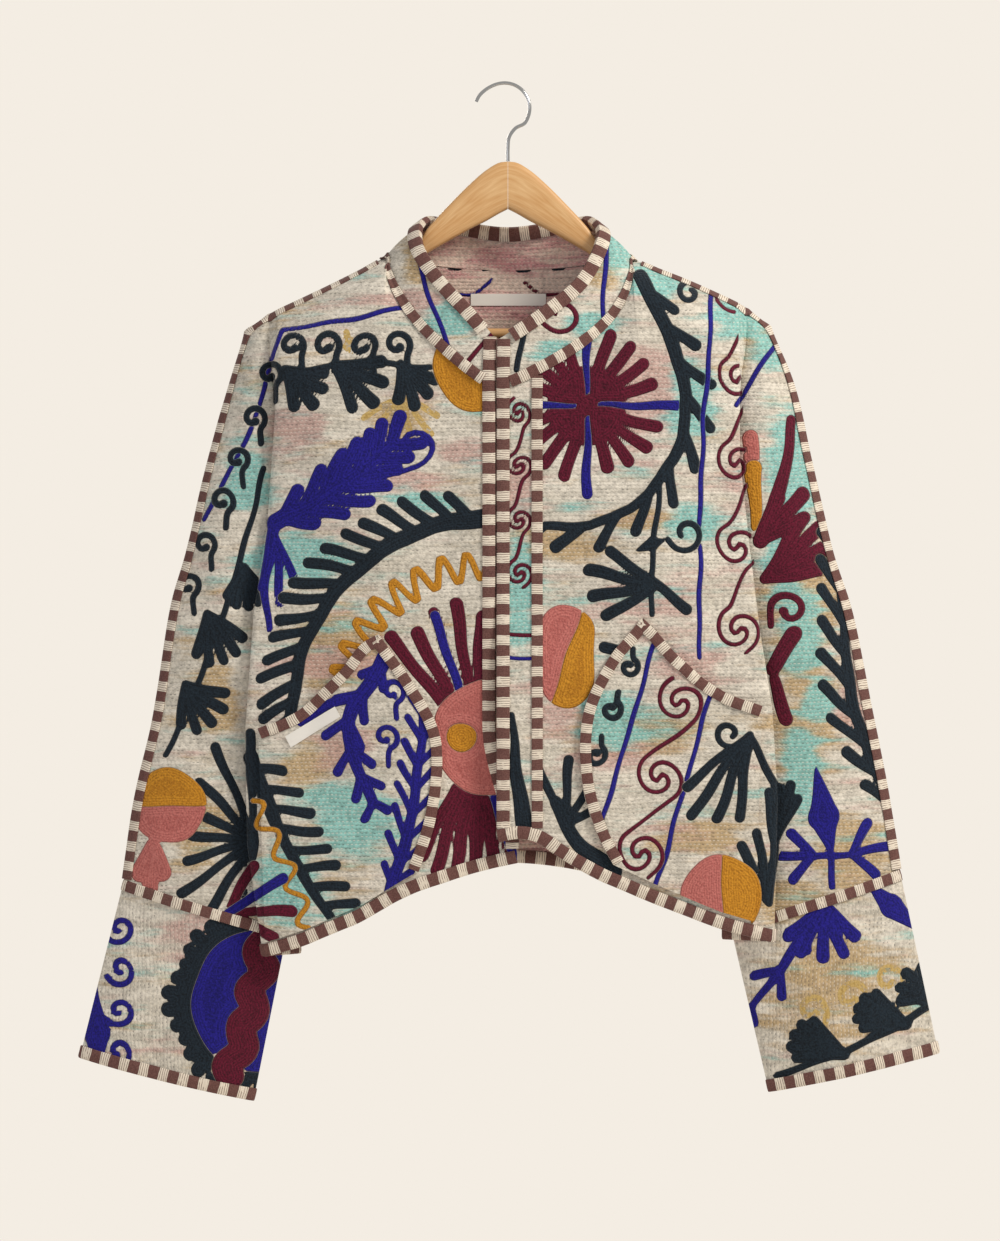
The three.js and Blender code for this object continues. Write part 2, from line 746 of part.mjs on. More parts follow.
function addPocket(piece, plan, name) {
  const mouth = curveThrough(plan.mouth);
  const inner = curveThrough(plan.inner);
  const sideOut = plan.mouth[0].out;
  const bottomOut = plan.inner.at(-1).out;
  const clear = TAPE_WIDTH + 1.5;
  const grid = [];
  for (let down = 0; down <= POCKET_STEPS; down++) {
    const line = [];
    for (let across = 0; across <= POCKET_STEPS; across++) {
      const [u, v] = [across / POCKET_STEPS, down / POCKET_STEPS];
      const top = mouth.getPointAt(u);
      const right = inner.getPointAt(v);
      const hemOutHere = lerp(sideOut - 6, bottomOut, u);
      const hemZ = (out) => hemHeight(piece.side, -1, out) + clear;
      const left = { x: lerp(sideOut, sideOut - 6, v), z: lerp(plan.mouth[0].z, hemZ(sideOut - 6), v) };
      const cornerZ = lerp(lerp(plan.mouth[0].z, plan.inner[0].z, u), lerp(hemZ(sideOut), hemZ(bottomOut), u), v);
      const cornerX = lerp(lerp(sideOut, plan.inner[0].out, u), lerp(sideOut - 6, bottomOut, u), v);
      const x = lerp(top.x, hemOutHere, v) + lerp(left.x, right.x, u) - cornerX;
      const z = lerp(top.z, hemZ(hemOutHere), v) + lerp(left.z, right.z, u) - cornerZ;
      line.push(onCloth(piece, x, z));
    }
    grid.push(line);
  }
  const points = [];
  for (const { point, normal } of grid.flat()) {
    const outer = point.clone().addScaledVector(normal, POCKET_LIFT + POCKET_WALL);
    points.push(outer, point.clone().addScaledVector(normal, POCKET_LIFT));
  }
  addGridWall(name, points, POCKET_STEPS, POCKET_STEPS, "cloth");

  // Its binding: along the mouth, round the apex and down the inner side.
  const width = POCKET_STEPS + 1;
  const lifted = (r, c) => points[2 * (r * width + c)];
  const stops = [];
  for (let c = 0; c <= POCKET_STEPS; c++) stops.push(pocketStop(lifted(0, c), lifted(1, c), grid[0][c].normal));
  const apex = stops.at(-1);
  apex.a = lifted(1, POCKET_STEPS - 1).clone().sub(apex.point).normalize();
  for (let r = 1; r <= POCKET_STEPS; r++) {
    stops.push(pocketStop(lifted(r, POCKET_STEPS), lifted(r, POCKET_STEPS - 1), grid[r][POCKET_STEPS].normal));
  }
  addPocketTape(name + "_tape", stops);
}

function pocketStop(point, toward, normal) {
  return { point: point.clone(), normal: normal.clone(), a: toward.clone().sub(point).normalize() };
}

// The pocket's binding lies on its outer face, just over its edge.
function addPocketTape(name, stops) {
  const sections = stops.map(({ point, normal, a }) => {
    const up = square(normal, a);
    const at = (along, lift) => point.clone().addScaledVector(a, along).addScaledVector(up, lift);
    const low = TAPE_LIFT;
    const high = low + TAPE_THICK;
    return [at(TAPE_WIDTH, low), at(0, low), at(0, high), at(TAPE_WIDTH, high)];
  });
  addStrip(name, sections, [[0, 1, 2, 3]], false, "tape");
}

// A woven label, sewn flat: its lift is measured from the cloth's outer face.
const LABEL_THICK = 0.6;
const LABEL_STEPS = 6;

function addLabel(name, places, lift) {
  const points = [];
  for (const edge of [places.top, places.bottom]) {
    for (let step = 0; step <= LABEL_STEPS; step++) {
      const share = step / LABEL_STEPS;
      const x = lerp(edge[0].x, edge[1].x, share);
      const z = lerp(edge[0].z, edge[1].z, share);
      const { point, normal } = onCloth(places.pieceAt(x), Math.abs(x), z);
      points.push(point.clone().addScaledVector(normal, lift + LABEL_THICK));
      points.push(point.clone().addScaledVector(normal, lift));
    }
  }
  addGridWall(name, points, 1, LABEL_STEPS, "label");
}

// A closed wall from pairs of points, outer then inner, in a grid.
function addGridWall(name, points, rows, columns, paint) {
  const at = (r, c) => 2 * (r * (columns + 1) + c);
  const triangles = [];
  const quad = (a, b, c, d) => triangles.push([a, b, c], [a, c, d]);
  for (let r = 0; r < rows; r++) {
    for (let c = 0; c < columns; c++) {
      quad(at(r, c), at(r, c + 1), at(r + 1, c + 1), at(r + 1, c));
      quad(at(r + 1, c) + 1, at(r + 1, c + 1) + 1, at(r, c + 1) + 1, at(r, c) + 1);
    }
  }
  for (let c = 0; c < columns; c++) {
    quad(at(0, c + 1), at(0, c), at(0, c) + 1, at(0, c + 1) + 1);
    quad(at(rows, c), at(rows, c + 1), at(rows, c + 1) + 1, at(rows, c) + 1);
  }
  for (let r = 0; r < rows; r++) {
    quad(at(r, 0), at(r + 1, 0), at(r + 1, 0) + 1, at(r, 0) + 1);
    quad(at(r + 1, columns), at(r, columns), at(r, columns) + 1, at(r + 1, columns) + 1);
  }
  addSolid(name, points, triangles, paint);
}

// ---------- hanger ----------
// Outline of one arm of the hanger: distance from the middle, its top and its bottom edge.
const ARM = table("out top bottom", [
  [0, -70, -113],
  [8, -71, -117],
  [20, -78, -124],
  [34, -90, -131],
  [52, -108, -141],
  [73, -131, -153],
  [84, -147, -163],
  [96, -159, -174],
  [114, -169, -186],
  [144, -183, -201],
  [174, -197.5, -216],
  [184, -202.5, -221],
  [184.5, -202.7, -233],
  [200, -210, -236],
  [207, -215.5, -232],
]);
const ARM_SECTION_STEPS = 16;
const BAR_HEIGHT = -226;

function addArm(name, sign) {
  const mitre = SEAM_GAP / 2;
  const sections = ARM.map(({ out, top, bottom }) => {
    const [middle, half] = [(top + bottom) / 2, (top - bottom) / 2];
    const section = [];
    for (let i = 0; i < ARM_SECTION_STEPS; i++) {
      const angle = (2 * Math.PI * i) / ARM_SECTION_STEPS;
      const soft = (n) => Math.sign(n) * Math.abs(n) ** 0.5;
      const y = (WOOD_THICK / 2) * soft(Math.cos(angle));
      section.push(new THREE.Vector3(sign * Math.max(out, mitre), y, middle + half * soft(Math.sin(angle))));
    }
    return section;
  });
  const caps = [];
  for (let i = 0; i + 1 < ARM_SECTION_STEPS / 2; i++) {
    caps.push([i, i + 1, ARM_SECTION_STEPS - 2 - i, ARM_SECTION_STEPS - 1 - i]);
  }
  addStrip(name, sections, caps, false, "wood");
}

function addBar() {
  const length = 2 * (184 - SEAM_GAP);
  const bar = new THREE.Mesh(
    new THREE.CylinderGeometry(BAR_RADIUS, BAR_RADIUS, length, 20),
    new THREE.MeshStandardMaterial(PAINT.wood),
  );
  bar.name = "hanger_bar";
  bar.rotation.z = Math.PI / 2;
  bar.position.z = BAR_HEIGHT;
  jacket.add(bar);
}

// The hook's wire: a straight shank, a swan neck and most of a ring.
const HOOK_RING = { x: -3, z: -21.2, radius: 22.8 };

function addHook() {
  const shankFoot = ARM[0].top + SEAM_GAP;
  const points = [new THREE.Vector3(0, 0, shankFoot), new THREE.Vector3(0, 0, -58)];
  points.push(new THREE.Vector3(1.2, 0, -47.5), new THREE.Vector3(7, 0, -39.5));
  for (let degrees = -38; degrees <= 165; degrees += 14.5) {
    const angle = THREE.MathUtils.degToRad(degrees);
    const spread = HOOK_RING.radius + 4 * smooth(degrees, 90, 165);
    const x = HOOK_RING.x + spread * Math.cos(angle);
    points.push(new THREE.Vector3(x, 0, HOOK_RING.z + HOOK_RING.radius * Math.sin(angle)));
  }
  const path = new THREE.CatmullRomCurve3(points, false, "centripetal");
  const wire = new THREE.Shape().absarc(0, 0, WIRE_RADIUS, 0, 2 * Math.PI);
  const geometry = new THREE.ExtrudeGeometry(wire, { steps: 44, curveSegments: 5, extrudePath: path });
  const hook = new THREE.Mesh(geometry, new THREE.MeshStandardMaterial(PAINT.wire));
  hook.name = "hanger_hook";
  jacket.add(hook);
}

// ---------- assembly ----------
const frontRight = sheet(WEARERS_RIGHT, -1);
const frontLeft = sheet(WEARERS_LEFT, -1);
const backRight = sheet(WEARERS_RIGHT, 1);
const backLeft = sheet(WEARERS_LEFT, 1);
const cuffRight = cuffSheet(WEARERS_RIGHT);
const cuffLeft = cuffSheet(WEARERS_LEFT);
const collar = collarSheet(frontRight, frontLeft, backRight, backLeft);
const pieces = [frontRight, frontLeft, backRight, backLeft, cuffRight, cuffLeft, collar];
findNormals(pieces.flatMap((piece) => piece.faces));

// The placket band is cut from the first columns of the wearer's left front.
const bandColumns = WEARERS_LEFT.bandColumns;
const bandGrid = frontLeft.body.map((row) => row.slice(0, bandColumns + 1));
const restGrid = frontLeft.body.map((row) => row.slice(bandColumns));
const restFaces = [
  ...facesOfGrid(restGrid, frontLeft.outward),
  ...facesOfGrid(frontLeft.sleeve, frontLeft.outward),
];

addCloth("front_right", frontRight.faces);
addCloth("front_left", restFaces);
addCloth("placket_band", facesOfGrid(bandGrid, frontLeft.outward));
addCloth("back", [...backRight.faces, ...backLeft.faces]);
addCloth("cuff_right", cuffRight.faces);
addCloth("cuff_left", cuffLeft.faces);
addCloth("collar", collar.faces);
addPocket(frontRight, POCKET_OF_RIGHT, "pocket_right");
addPocket(frontLeft, POCKET_OF_LEFT, "pocket_left");

addLabel(
  "pocket_label",
  {
    pieceAt: () => frontRight,
    top: [{ x: -200, z: -591 }, { x: -155, z: -564 }],
    bottom: [{ x: -195, z: -601 }, { x: -150, z: -573 }],
  },
  POCKET_LIFT + POCKET_WALL + 0.8,
);
addLabel(
  "neck_label",
  {
    pieceAt: (x) => (x < 0 ? backRight : backLeft),
    top: [{ x: -34, z: -187 }, { x: 35, z: -187 }],
    bottom: [{ x: -34, z: -198 }, { x: 35, z: -198 }],
  },
  -CLOTH_WALL - 0.5 - LABEL_THICK,
);

// Bindings over seams stop where they meet another binding.
const beside = TAPE_WIDTH / 2 + 1;
const beyondEdge = TAPE_WIDTH + 1.2;

for (const [front, back] of [[frontRight, backRight], [frontLeft, backLeft]]) {
  const name = front.side.name;
  const neck = front.side.neckColumns;
  const shoulder = [];
  for (let c = 0; c <= SHOULDER_COLUMNS + FOLD_COLUMNS; c++) {
    const [f, b] = [neck + c, BACK_NECK_COLUMNS + c];
    shoulder.push(stop(front.body[0][f], front.body[1][f], back.body[1][b]));
  }
  for (let c = 1; c < SLEEVE_COLUMNS; c++) {
    shoulder.push(stop(front.sleeve[0][c], front.sleeve[1][c], back.sleeve[1][c]));
  }
  const last = SLEEVE_COLUMNS;
  shoulder.push(stop(front.sleeve[0][last], front.sleeve[1][last - 1], back.sleeve[1][last - 1]));
  for (let r = 1; r <= ROWS; r++) {
    const v = front.sleeve[r][last];
    shoulder.push(stop(v, front.sleeve[r][last - 1], back.sleeve[r][last - 1]));
  }
  addSeamTape("shoulder_tape_" + name, trimmed(shoulder, beside, beside));

  // Hem of the front, from its free edge to the side seam.
  const hem = front.body[ROWS].map((v, c) => stop(v, front.body[ROWS - 1][c]));
  addEdgeTape("hem_tape_" + name, trimmed(hem, 0, 0.2));

  // Cuff: a ring over the seam, a ring over the hem.
  const cuff = front.side === WEARERS_RIGHT ? cuffRight : cuffLeft;
  const ring = cuff.grid[0].slice(0, -1);
  const sleeveAbove = (step) => {
    const sleeve = (step <= SLEEVE_COLUMNS ? front : back).sleeve[ROWS - 1];
    return sleeve[step <= SLEEVE_COLUMNS ? step : 2 * SLEEVE_COLUMNS - step];
  };
  const seam = ring.map((v, step) => stop(v, cuff.grid[1][step], sleeveAbove(step)));
  addSeamTape("cuff_seam_tape_" + name, seam, true);
  const cuffHem = cuff.grid[CUFF_ROWS].slice(0, -1).map((v, c) => stop(v, cuff.grid[CUFF_ROWS - 1][c]));
  addEdgeTape("cuff_hem_tape_" + name, cuffHem, true);

  // Free edge of the front and of the collar above it.
  const collarColumn = front.side === WEARERS_RIGHT ? 0 : collar.grid[0].length - 1;
  const next = front.side === WEARERS_RIGHT ? 1 : collarColumn - 1;
  const edge = [];
  for (let r = ROWS; r >= 1; r--) edge.push(stop(front.body[r][0], front.body[r][1]));
  for (let r = 0; r <= COLLAR_ROWS; r++) edge.push(stop(collar.grid[r][collarColumn], collar.grid[r][next]));
  addEdgeTape("front_edge_tape_" + name, trimmed(edge, beyondEdge, 0));
}

const backHem = [
  ...backRight.body[ROWS].map((v, c) => stop(v, backRight.body[ROWS - 1][c])).reverse(),
  ...backLeft.body[ROWS].map((v, c) => stop(v, backLeft.body[ROWS - 1][c])).slice(1),
];
addEdgeTape("back_hem_tape", trimmed(backHem, 0.2, 0.2));

const collarTop = collar.grid[COLLAR_ROWS].map((v, c) => stop(v, collar.grid[COLLAR_ROWS - 1][c]));
addEdgeTape("collar_edge_tape", trimmed(collarTop, beyondEdge, beyondEdge), false, COLLAR_TAPE_LIFT);

// The neck seam's tape turns onto the shoulder seam at each neck point.
const neckStops = (piece, columns) =>
  piece.body[0].slice(0, columns + 1).map((v, c) => {
    const above = collar.grid[1][collar.grid[0].indexOf(v)];
    return stop(v, above, piece.body[1][c]);
  });

function neckCorner(front, frontStops, backStops) {
  const [fromFront, fromBack] = [frontStops.at(-1), backStops.at(-1)];
  const v = front.body[0][front.side.neckColumns];
  const above = collar.grid[1][collar.grid[0].indexOf(v)];
  const corner = stop(v, above, front.body[0][front.side.neckColumns + 1]);
  const near = (onPiece, neighbour) => {
    const share = 1.5 / onPiece.point.distanceTo(neighbour.point);
    return { ...stopBetween(onPiece, neighbour, share), b: onPiece.b };
  };
  return [
    ...frontStops.slice(0, -1),
    near(fromFront, frontStops.at(-2)),
    corner,
    near(fromBack, backStops.at(-2)),
    ...backStops.slice(0, -1).reverse(),
  ];
}

const neckHalf = (front, back) =>
  neckCorner(front, neckStops(front, front.side.neckColumns), neckStops(back, BACK_NECK_COLUMNS));
const neckSeam = [...neckHalf(frontRight, backRight), ...neckHalf(frontLeft, backLeft).reverse().slice(1)];
addSeamTape("neck_seam_tape", trimmed(neckSeam, beyondEdge, beyondEdge), false, 1.6 * TAPE_LIFT);

const placket = frontLeft.body.map((row, r) => {
  const v = row[bandColumns];
  return stop(v, row[bandColumns - 1], row[bandColumns + 1]);
});
addSeamTape("placket_seam_tape", trimmed(placket, beside, beyondEdge));

addArm("hanger_arm_right", -1);
addArm("hanger_arm_left", 1);
addBar();
addHook();

export default jacket;
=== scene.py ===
import math

import bpy
import numpy as np
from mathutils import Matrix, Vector
from mathutils.bvhtree import BVHTree


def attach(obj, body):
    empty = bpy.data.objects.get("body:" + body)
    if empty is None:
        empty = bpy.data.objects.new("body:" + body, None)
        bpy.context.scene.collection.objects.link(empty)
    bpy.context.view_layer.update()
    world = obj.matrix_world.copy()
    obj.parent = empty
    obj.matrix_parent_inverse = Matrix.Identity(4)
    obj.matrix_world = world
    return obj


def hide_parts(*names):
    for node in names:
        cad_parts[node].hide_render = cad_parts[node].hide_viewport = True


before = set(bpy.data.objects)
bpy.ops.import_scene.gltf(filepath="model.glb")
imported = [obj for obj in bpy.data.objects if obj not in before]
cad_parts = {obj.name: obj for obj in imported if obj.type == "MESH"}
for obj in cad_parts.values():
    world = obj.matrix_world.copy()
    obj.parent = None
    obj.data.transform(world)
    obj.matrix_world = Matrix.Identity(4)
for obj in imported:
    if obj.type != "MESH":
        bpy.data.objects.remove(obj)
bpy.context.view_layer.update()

# ---------- quilted body: two fronts, placket band, back ----------
# Soft recycled cotton in layers, held together by rows of running stitch. It is cut like a
# kimono, so each front and the back run on into their sleeves, and it hangs from the hanger
# in a slack box with a fold at each side.

WALL = 2.4
ROWS, UNDERARM = 20, 9
FINE = 8  # steps between the drafted columns
RIGHT = dict(
    sign=-1, edge=13, shift=21, lift=0, band=0, neck_columns=8, valley=(24, 27),
    neck=[(13, -44, -277), (29, -44, -266), (58, -41, -242), (84, -35, -215), (103, -25, -186),
          (110, -13, -168), (112, 0, -158)],
    shoulder=[(112, -158), (174, -189), (206, -204), (236, -224)],
    fold=[(-788, 217), (-690, 231), (-590, 233), (-480, 225), (-400, 213), (-300, 206), (-204, 206)],
    hem=[(-9, -699), (12, -703), (39, -710), (87, -731), (130, -756), (184, -778), (217, -788)],
    overarm=[(236, -224), (251, -272), (273, -350), (292, -430), (304, -472), (321, -576),
             (338, -648), (350, -727)],
    cuff=[(201, -772), (389, -883), (231, -922)],
)
LEFT = dict(
    sign=1, edge=-8.6, shift=0, lift=11, band=2, band_seam=26, neck_columns=9, valley=(24, 40),
    neck=[(-8.6, -46, -277), (9, -46, -270), (34, -44, -257), (62, -41, -240), (92, -33, -214),
          (108, -24, -187), (113, -13, -170), (115, 0, -160)],
    shoulder=[(115, -160), (155, -175), (187, -189), (206, -198), (236, -220)],
    fold=[(-774, 236), (-648, 239), (-566, 234), (-496, 223), (-414, 213), (-340, 205),
          (-284, 205), (-198, 206)],
    hem=[(-9, -684), (19, -679), (34, -690), (76, -716), (131, -740), (191, -763), (236, -775)],
    overarm=[(236, -220), (258, -273), (274, -341), (295, -429), (311, -479), (327, -557),
             (343, -635), (357, -718)],
    cuff=[(203, -768), (391, -879), (237, -914)],
)
BACK_NECK = [(0, 38, -166), (45, 32, -164), (85, 21, -160), (104, 12, -158)]
# Folds of the hanging cloth: from, to, height, half width. The first rows are the deep ones.
FRONT_FOLDS = [
    (-190, -235, -120, -420, 5, 26), (-200, -400, -170, -640, -4, 24),
    (-96, -560, -80, -735, 5, 28), (-40, -600, -36, -712, -4, 20),
    (188, -230, 120, -430, 5, 26), (200, -430, 180, -660, -5, 24),
    (70, -540, 62, -716, 5, 26), (130, -600, 150, -745, -4, 26),
    (-120, -230, -70, -330, 2.2, 13), (-170, -250, -150, -330, -2, 12),
    (-60, -330, -52, -520, -2, 17), (-205, -470, -150, -500, 1.8, 12),
    (120, -220, 84, -320, 2, 14), (168, -240, 160, -350, -2.2, 13),
    (60, -340, 52, -500, -1.8, 16), (205, -500, 150, -540, 1.8, 12),
    (100, -420, 96, -560, 1.6, 14), (-110, -430, -118, -560, 1.6, 15),
]
BACK_FOLDS = [
    (-180, -240, -90, -460, 5, 28), (-60, -420, -52, -712, -5, 30),
    (-150, -520, -140, -750, 5, 28), (175, -235, 100, -480, 5, 28),
    (40, -480, 58, -712, 5, 30), (160, -560, 150, -750, -4, 26),
    (-110, -220, -40, -330, 2, 15), (120, -215, 60, -330, -2, 15),
    (0, -260, 6, -560, 1.8, 18), (-205, -480, -150, -520, 1.8, 13),
]
SLEEVE_FOLDS = [
    (-285, -400, -235, -520, 4, 18), (-320, -560, -240, -640, -3, 16),
    (-345, -690, -250, -720, 3, 14), (290, -420, 240, -520, 4, 18),
    (325, -540, 245, -600, -3, 16), (350, -660, 255, -720, 3, 14),
    (-262, -300, -236, -400, -2, 12), (262, -310, 238, -410, -2, 12),
    (-330, -640, -300, -740, 2, 12), (335, -610, 300, -730, 2, 12),
    (-300, -780, -320, -890, -3, 16), (250, -790, 300, -890, 3, 18),
    (-240, -800, -262, -900, 2.4, 14), (330, -760, 360, -880, -2.6, 15),
]


def smooth(value, low, high):
    share = np.clip((value - low) / (high - low), 0, 1)
    return share * share * (3 - 2 * share)


def curve_through(points):
    """A smooth line through the points, read by its share of the length."""
    p = np.array(points, float)
    p = np.vstack([2 * p[0] - p[1], p, 2 * p[-1] - p[-2]])
    line = []
    for a, b, c, d in zip(p, p[1:], p[2:], p[3:]):
        i, j, k = (max(1e-3, np.linalg.norm(e) ** 0.5) for e in (b - a, c - b, d - c))
        m = ((b - a) / i - (c - a) / (i + j) + (c - b) / j) * j
        n = ((c - b) / j - (d - b) / (j + k) + (d - c) / k) * j
        t = np.linspace(0, 1, 24, endpoint=False)[:, None]
        line.append(b + m * t + (3 * (c - b) - 2 * m - n) * t**2 + (2 * (b - c) + m + n) * t**3)
    line = np.vstack(line + [p[-2:-1]])
    run = np.r_[0, np.cumsum(np.linalg.norm(np.diff(line, axis=0), axis=1))]
    return lambda share: np.stack([np.interp(np.asarray(share) * run[-1], run, c) for c in line.T], -1)


def share_where(curve, out):
    shares = np.linspace(0, 1, 2000)
    return float(np.interp(out, curve(shares)[:, 0], shares))


def look_up(rows, at):
    return np.interp(at, [r[0] for r in rows], [r[1] for r in rows])


def fold_height(folds, x, z):
    height = 0
    for x0, z0, x1, z1, high, wide in folds:
        run = np.array([x1 - x0, z1 - z0], float)
        share = np.clip(((x - x0) * run[0] + (z - z0) * run[1]) / (run @ run), 0, 1)
        away = np.hypot(x - x0 - run[0] * share, z - z0 - run[1] * share)
        height = height + high * np.exp(-((away / wide) ** 2))
    return height


def hem_height(side, face, out):
    corner = side["hem"][-1]
    if face < 0:
        return look_up(side["hem"], out)
    middle = (RIGHT["hem"][-1][1] + LEFT["hem"][-1][1]) / 2 + 74
    return middle + (corner[1] - middle) * np.minimum(1, out / corner[0]) ** 1.7


def finer(grid, steps):
    """The same surface with more columns, smooth through the drafted ones."""
    g = np.concatenate([2 * grid[:, :1] - grid[:, 1:2], grid, 2 * grid[:, -1:] - grid[:, -2:-1]], 1)
    a, b, c, d = (g[:, i : g.shape[1] - 3 + i] for i in range(4))
    parts = []
    for t in np.arange(steps) / steps:
        parts.append(b + (c - a) / 2 * t + (2 * a - 5 * b + 4 * c - d) / 2 * t**2
                     + (3 * b - 3 * c + d - a) / 2 * t**3)
    fine = np.stack(parts, 2).reshape(grid.shape[0], -1, 3)
    return np.concatenate([fine, grid[:, -1:]], 1)


def body_grid(side, face, rows):
    """Rows from the shoulder to the hem, columns from the middle round the fold to the side seam."""
    front = face < 0
    neck_columns = side["neck_columns"] if front else 6
    last = neck_columns + 4
    neck = curve_through(side["neck"] if front else BACK_NECK + side["neck"][-1:])
    shoulder = curve_through([(out, 0, z) for out, z in side["shoulder"]])
    fold_top = share_where(shoulder, look_up(side["fold"], -200))
    band = side["band"] if front else 0
    start = side["edge"] if front else 0
    inner = side["band_seam"] if band else start
    band_share = share_where(neck, inner) if band else 0
    hem_width = look_up(side["fold"], -780)
    v = rows / ROWS
    columns = []
    for column in range(last + 4):
        around = max(0, column - last)
        within = min(column, last)
        if column <= neck_columns:
            past = band_share + (1 - band_share) * (column - band) / (neck_columns - band)
            top = neck(band_share * column / band if band and column <= band else past)
        elif not around:
            top = shoulder(fold_top * (column - neck_columns) / 4)
        else:
            top = shoulder(fold_top + (1 - fold_top) * around / 9)
        if band and within <= band:
            hem = start + (inner - start) * within / band
        else:
            hem = inner + (hem_width - inner) * (within - band) / (last - band)
        bottom = side["hem"][-1][1] if around else hem_height(side, face, hem)
        z = top[2] + (bottom - top[2]) * v
        edge_out = look_up(side["fold"], z)
        hanging = hem + 0 * z
        if not front or hem > inner:
            hanging = inner + (edge_out - inner) * (hem - inner) / (hem_width - inner)
        out = top[0] + (hanging - top[0]) * smooth(v, 0, 0.45)
        full = 42 if front else 36
        hang = full * (0.94 + 0.06 * np.cos((z + 400) / 130)) * (1 - 0.28 * (within / last) ** 5)
        roll = np.exp(-(top[2] - z) / 15)
        depth = hang + (abs(top[1]) - hang) * roll
        folds = FRONT_FOLDS if front else BACK_FOLDS
        depth = depth + smooth(v, 0, 0.12) * fold_height(folds, side["sign"] * out, z)
        if front:
            near = 1 - smooth(out, side["edge"], side["edge"] + 90)
            depth = depth + near * side["lift"] * smooth(-z, 430, 590)
            out = out - side["shift"] * near * smooth(-z, 580, 690)
        if around:
            opened = edge_out + (top[0] - edge_out) * (1 - smooth(v, 0, 0.08))
            opened = opened + 4 * around * smooth(v, 0, 0.08)
            past = np.clip((rows - UNDERARM) / (ROWS - UNDERARM), 0, 1)
            seam_out = edge_out - (side["valley"][0] + (side["valley"][1] - side["valley"][0]) * past)
            seam_depth = np.interp(rows, [0, UNDERARM - 1, UNDERARM], [12, 3.4, 0]) * smooth(v, 0, 0.05)
            to_out, to_depth = [(edge_out + 4, depth * 0.84), (edge_out - 5, depth * 0.66),
                                (seam_out, seam_depth)][around - 1]
            flat = depth * (1 - 0.16 * around)
            strength = smooth(rows, 0, UNDERARM - 1)
            out = opened + (to_out - opened) * strength
            depth = flat + (to_depth - flat) * (smooth(rows, 0, 4) if around == 3 else strength)
        columns.append(np.stack([side["sign"] * out, face * depth, z], -1))
    return np.stack(columns, 1)


def ring_point(inner, outer, high, share, face, sign):
    """A place on a flattened ring of sleeve; inner is (out, depth, z), outer (out, z)."""
    out = inner[0] + (outer[0] - inner[0]) * share
    z = inner[2] + (outer[1] - inner[2]) * share
    belly = np.sin(np.pi * share) ** 0.75
    folds = fold_height(SLEEVE_FOLDS, sign * out, z) * belly * np.minimum(1, high / 12)
    depth = inner[1] * (1 - share) + high * belly + folds
    return np.stack([sign * out, face * depth, z], -1)


def sleeve_grid(side, face, rows, seam):
    overarm = curve_through(side["overarm"])(rows / ROWS)
    under = np.abs([np.interp(UNDERARM, rows, seam[:, k]) for k in range(3)])
    down = np.clip((rows - UNDERARM) / (ROWS - UNDERARM), 0, 1)
    bow = 7 * np.sin(np.pi * np.minimum(1, down * 1.4))
    cuff_out, cuff_z = side["cuff"][0]
    joined = rows <= UNDERARM
    inner = (
        np.where(joined, np.abs(seam[:, 0]), under[0] + (cuff_out - under[0]) * down + bow),
        np.where(joined, np.abs(seam[:, 1]), 0),
        np.where(joined, seam[:, 2], -under[2] + (cuff_z + under[2]) * down),
    )
    high = 7 + 10 * smooth(rows / ROWS, 0, 0.3)
    shoulder = curve_through([(out, 0, z) for out, z in side["shoulder"]])
    fold_top = share_where(shoulder, look_up(side["fold"], -200))
    columns = []
    for share in np.linspace(0, 1, 6 * FINE + 1):
        ring = ring_point(inner, overarm.T, high, share, face, side["sign"])
        top = shoulder(fold_top + (1 - fold_top) * (3 + 6 * share) / 9) * (side["sign"], 0, 1)
        leave = np.sin(np.pi / 2 * np.clip(rows, 0, 1))[:, None]
        columns.append(top + (ring - top) * leave)
    grid = np.stack(columns, 1)
    grid[joined, 0] = seam[joined]
    return grid


def sheet_grids(side, face, steps):
    rows = np.linspace(0, ROWS, ROWS * steps + 1)
    body = finer(body_grid(side, face, rows), FINE)
    return body, sleeve_grid(side, face, rows, body[:, -1])


def faces_of(grid, outward):
    """Four-sided faces of a grid, turned so that they face outward."""
    across, down = np.gradient(grid, axis=1), np.gradient(grid, axis=0)
    turn = np.sum(np.cross(across, down) * outward) < 0
    n = np.arange(grid.shape[0] * grid.shape[1]).reshape(grid.shape[:2])
    quads = np.stack([n[:-1, :-1], n[:-1, 1:], n[1:, 1:], n[1:, :-1]], -1).reshape(-1, 4)
    return quads[:, ::-1] if turn else quads


def mesh_object(name, points, faces, smooth_angle=40):
    mesh = bpy.data.meshes.new(name)
    mesh.from_pydata((np.asarray(points) / 1000).tolist(), [], [list(map(int, f)) for f in faces])
    mesh.shade_smooth()
    mesh.set_sharp_from_angle(angle=math.radians(smooth_angle))
    obj = bpy.data.objects.new(name, mesh)
    bpy.context.scene.collection.objects.link(obj)
    return obj


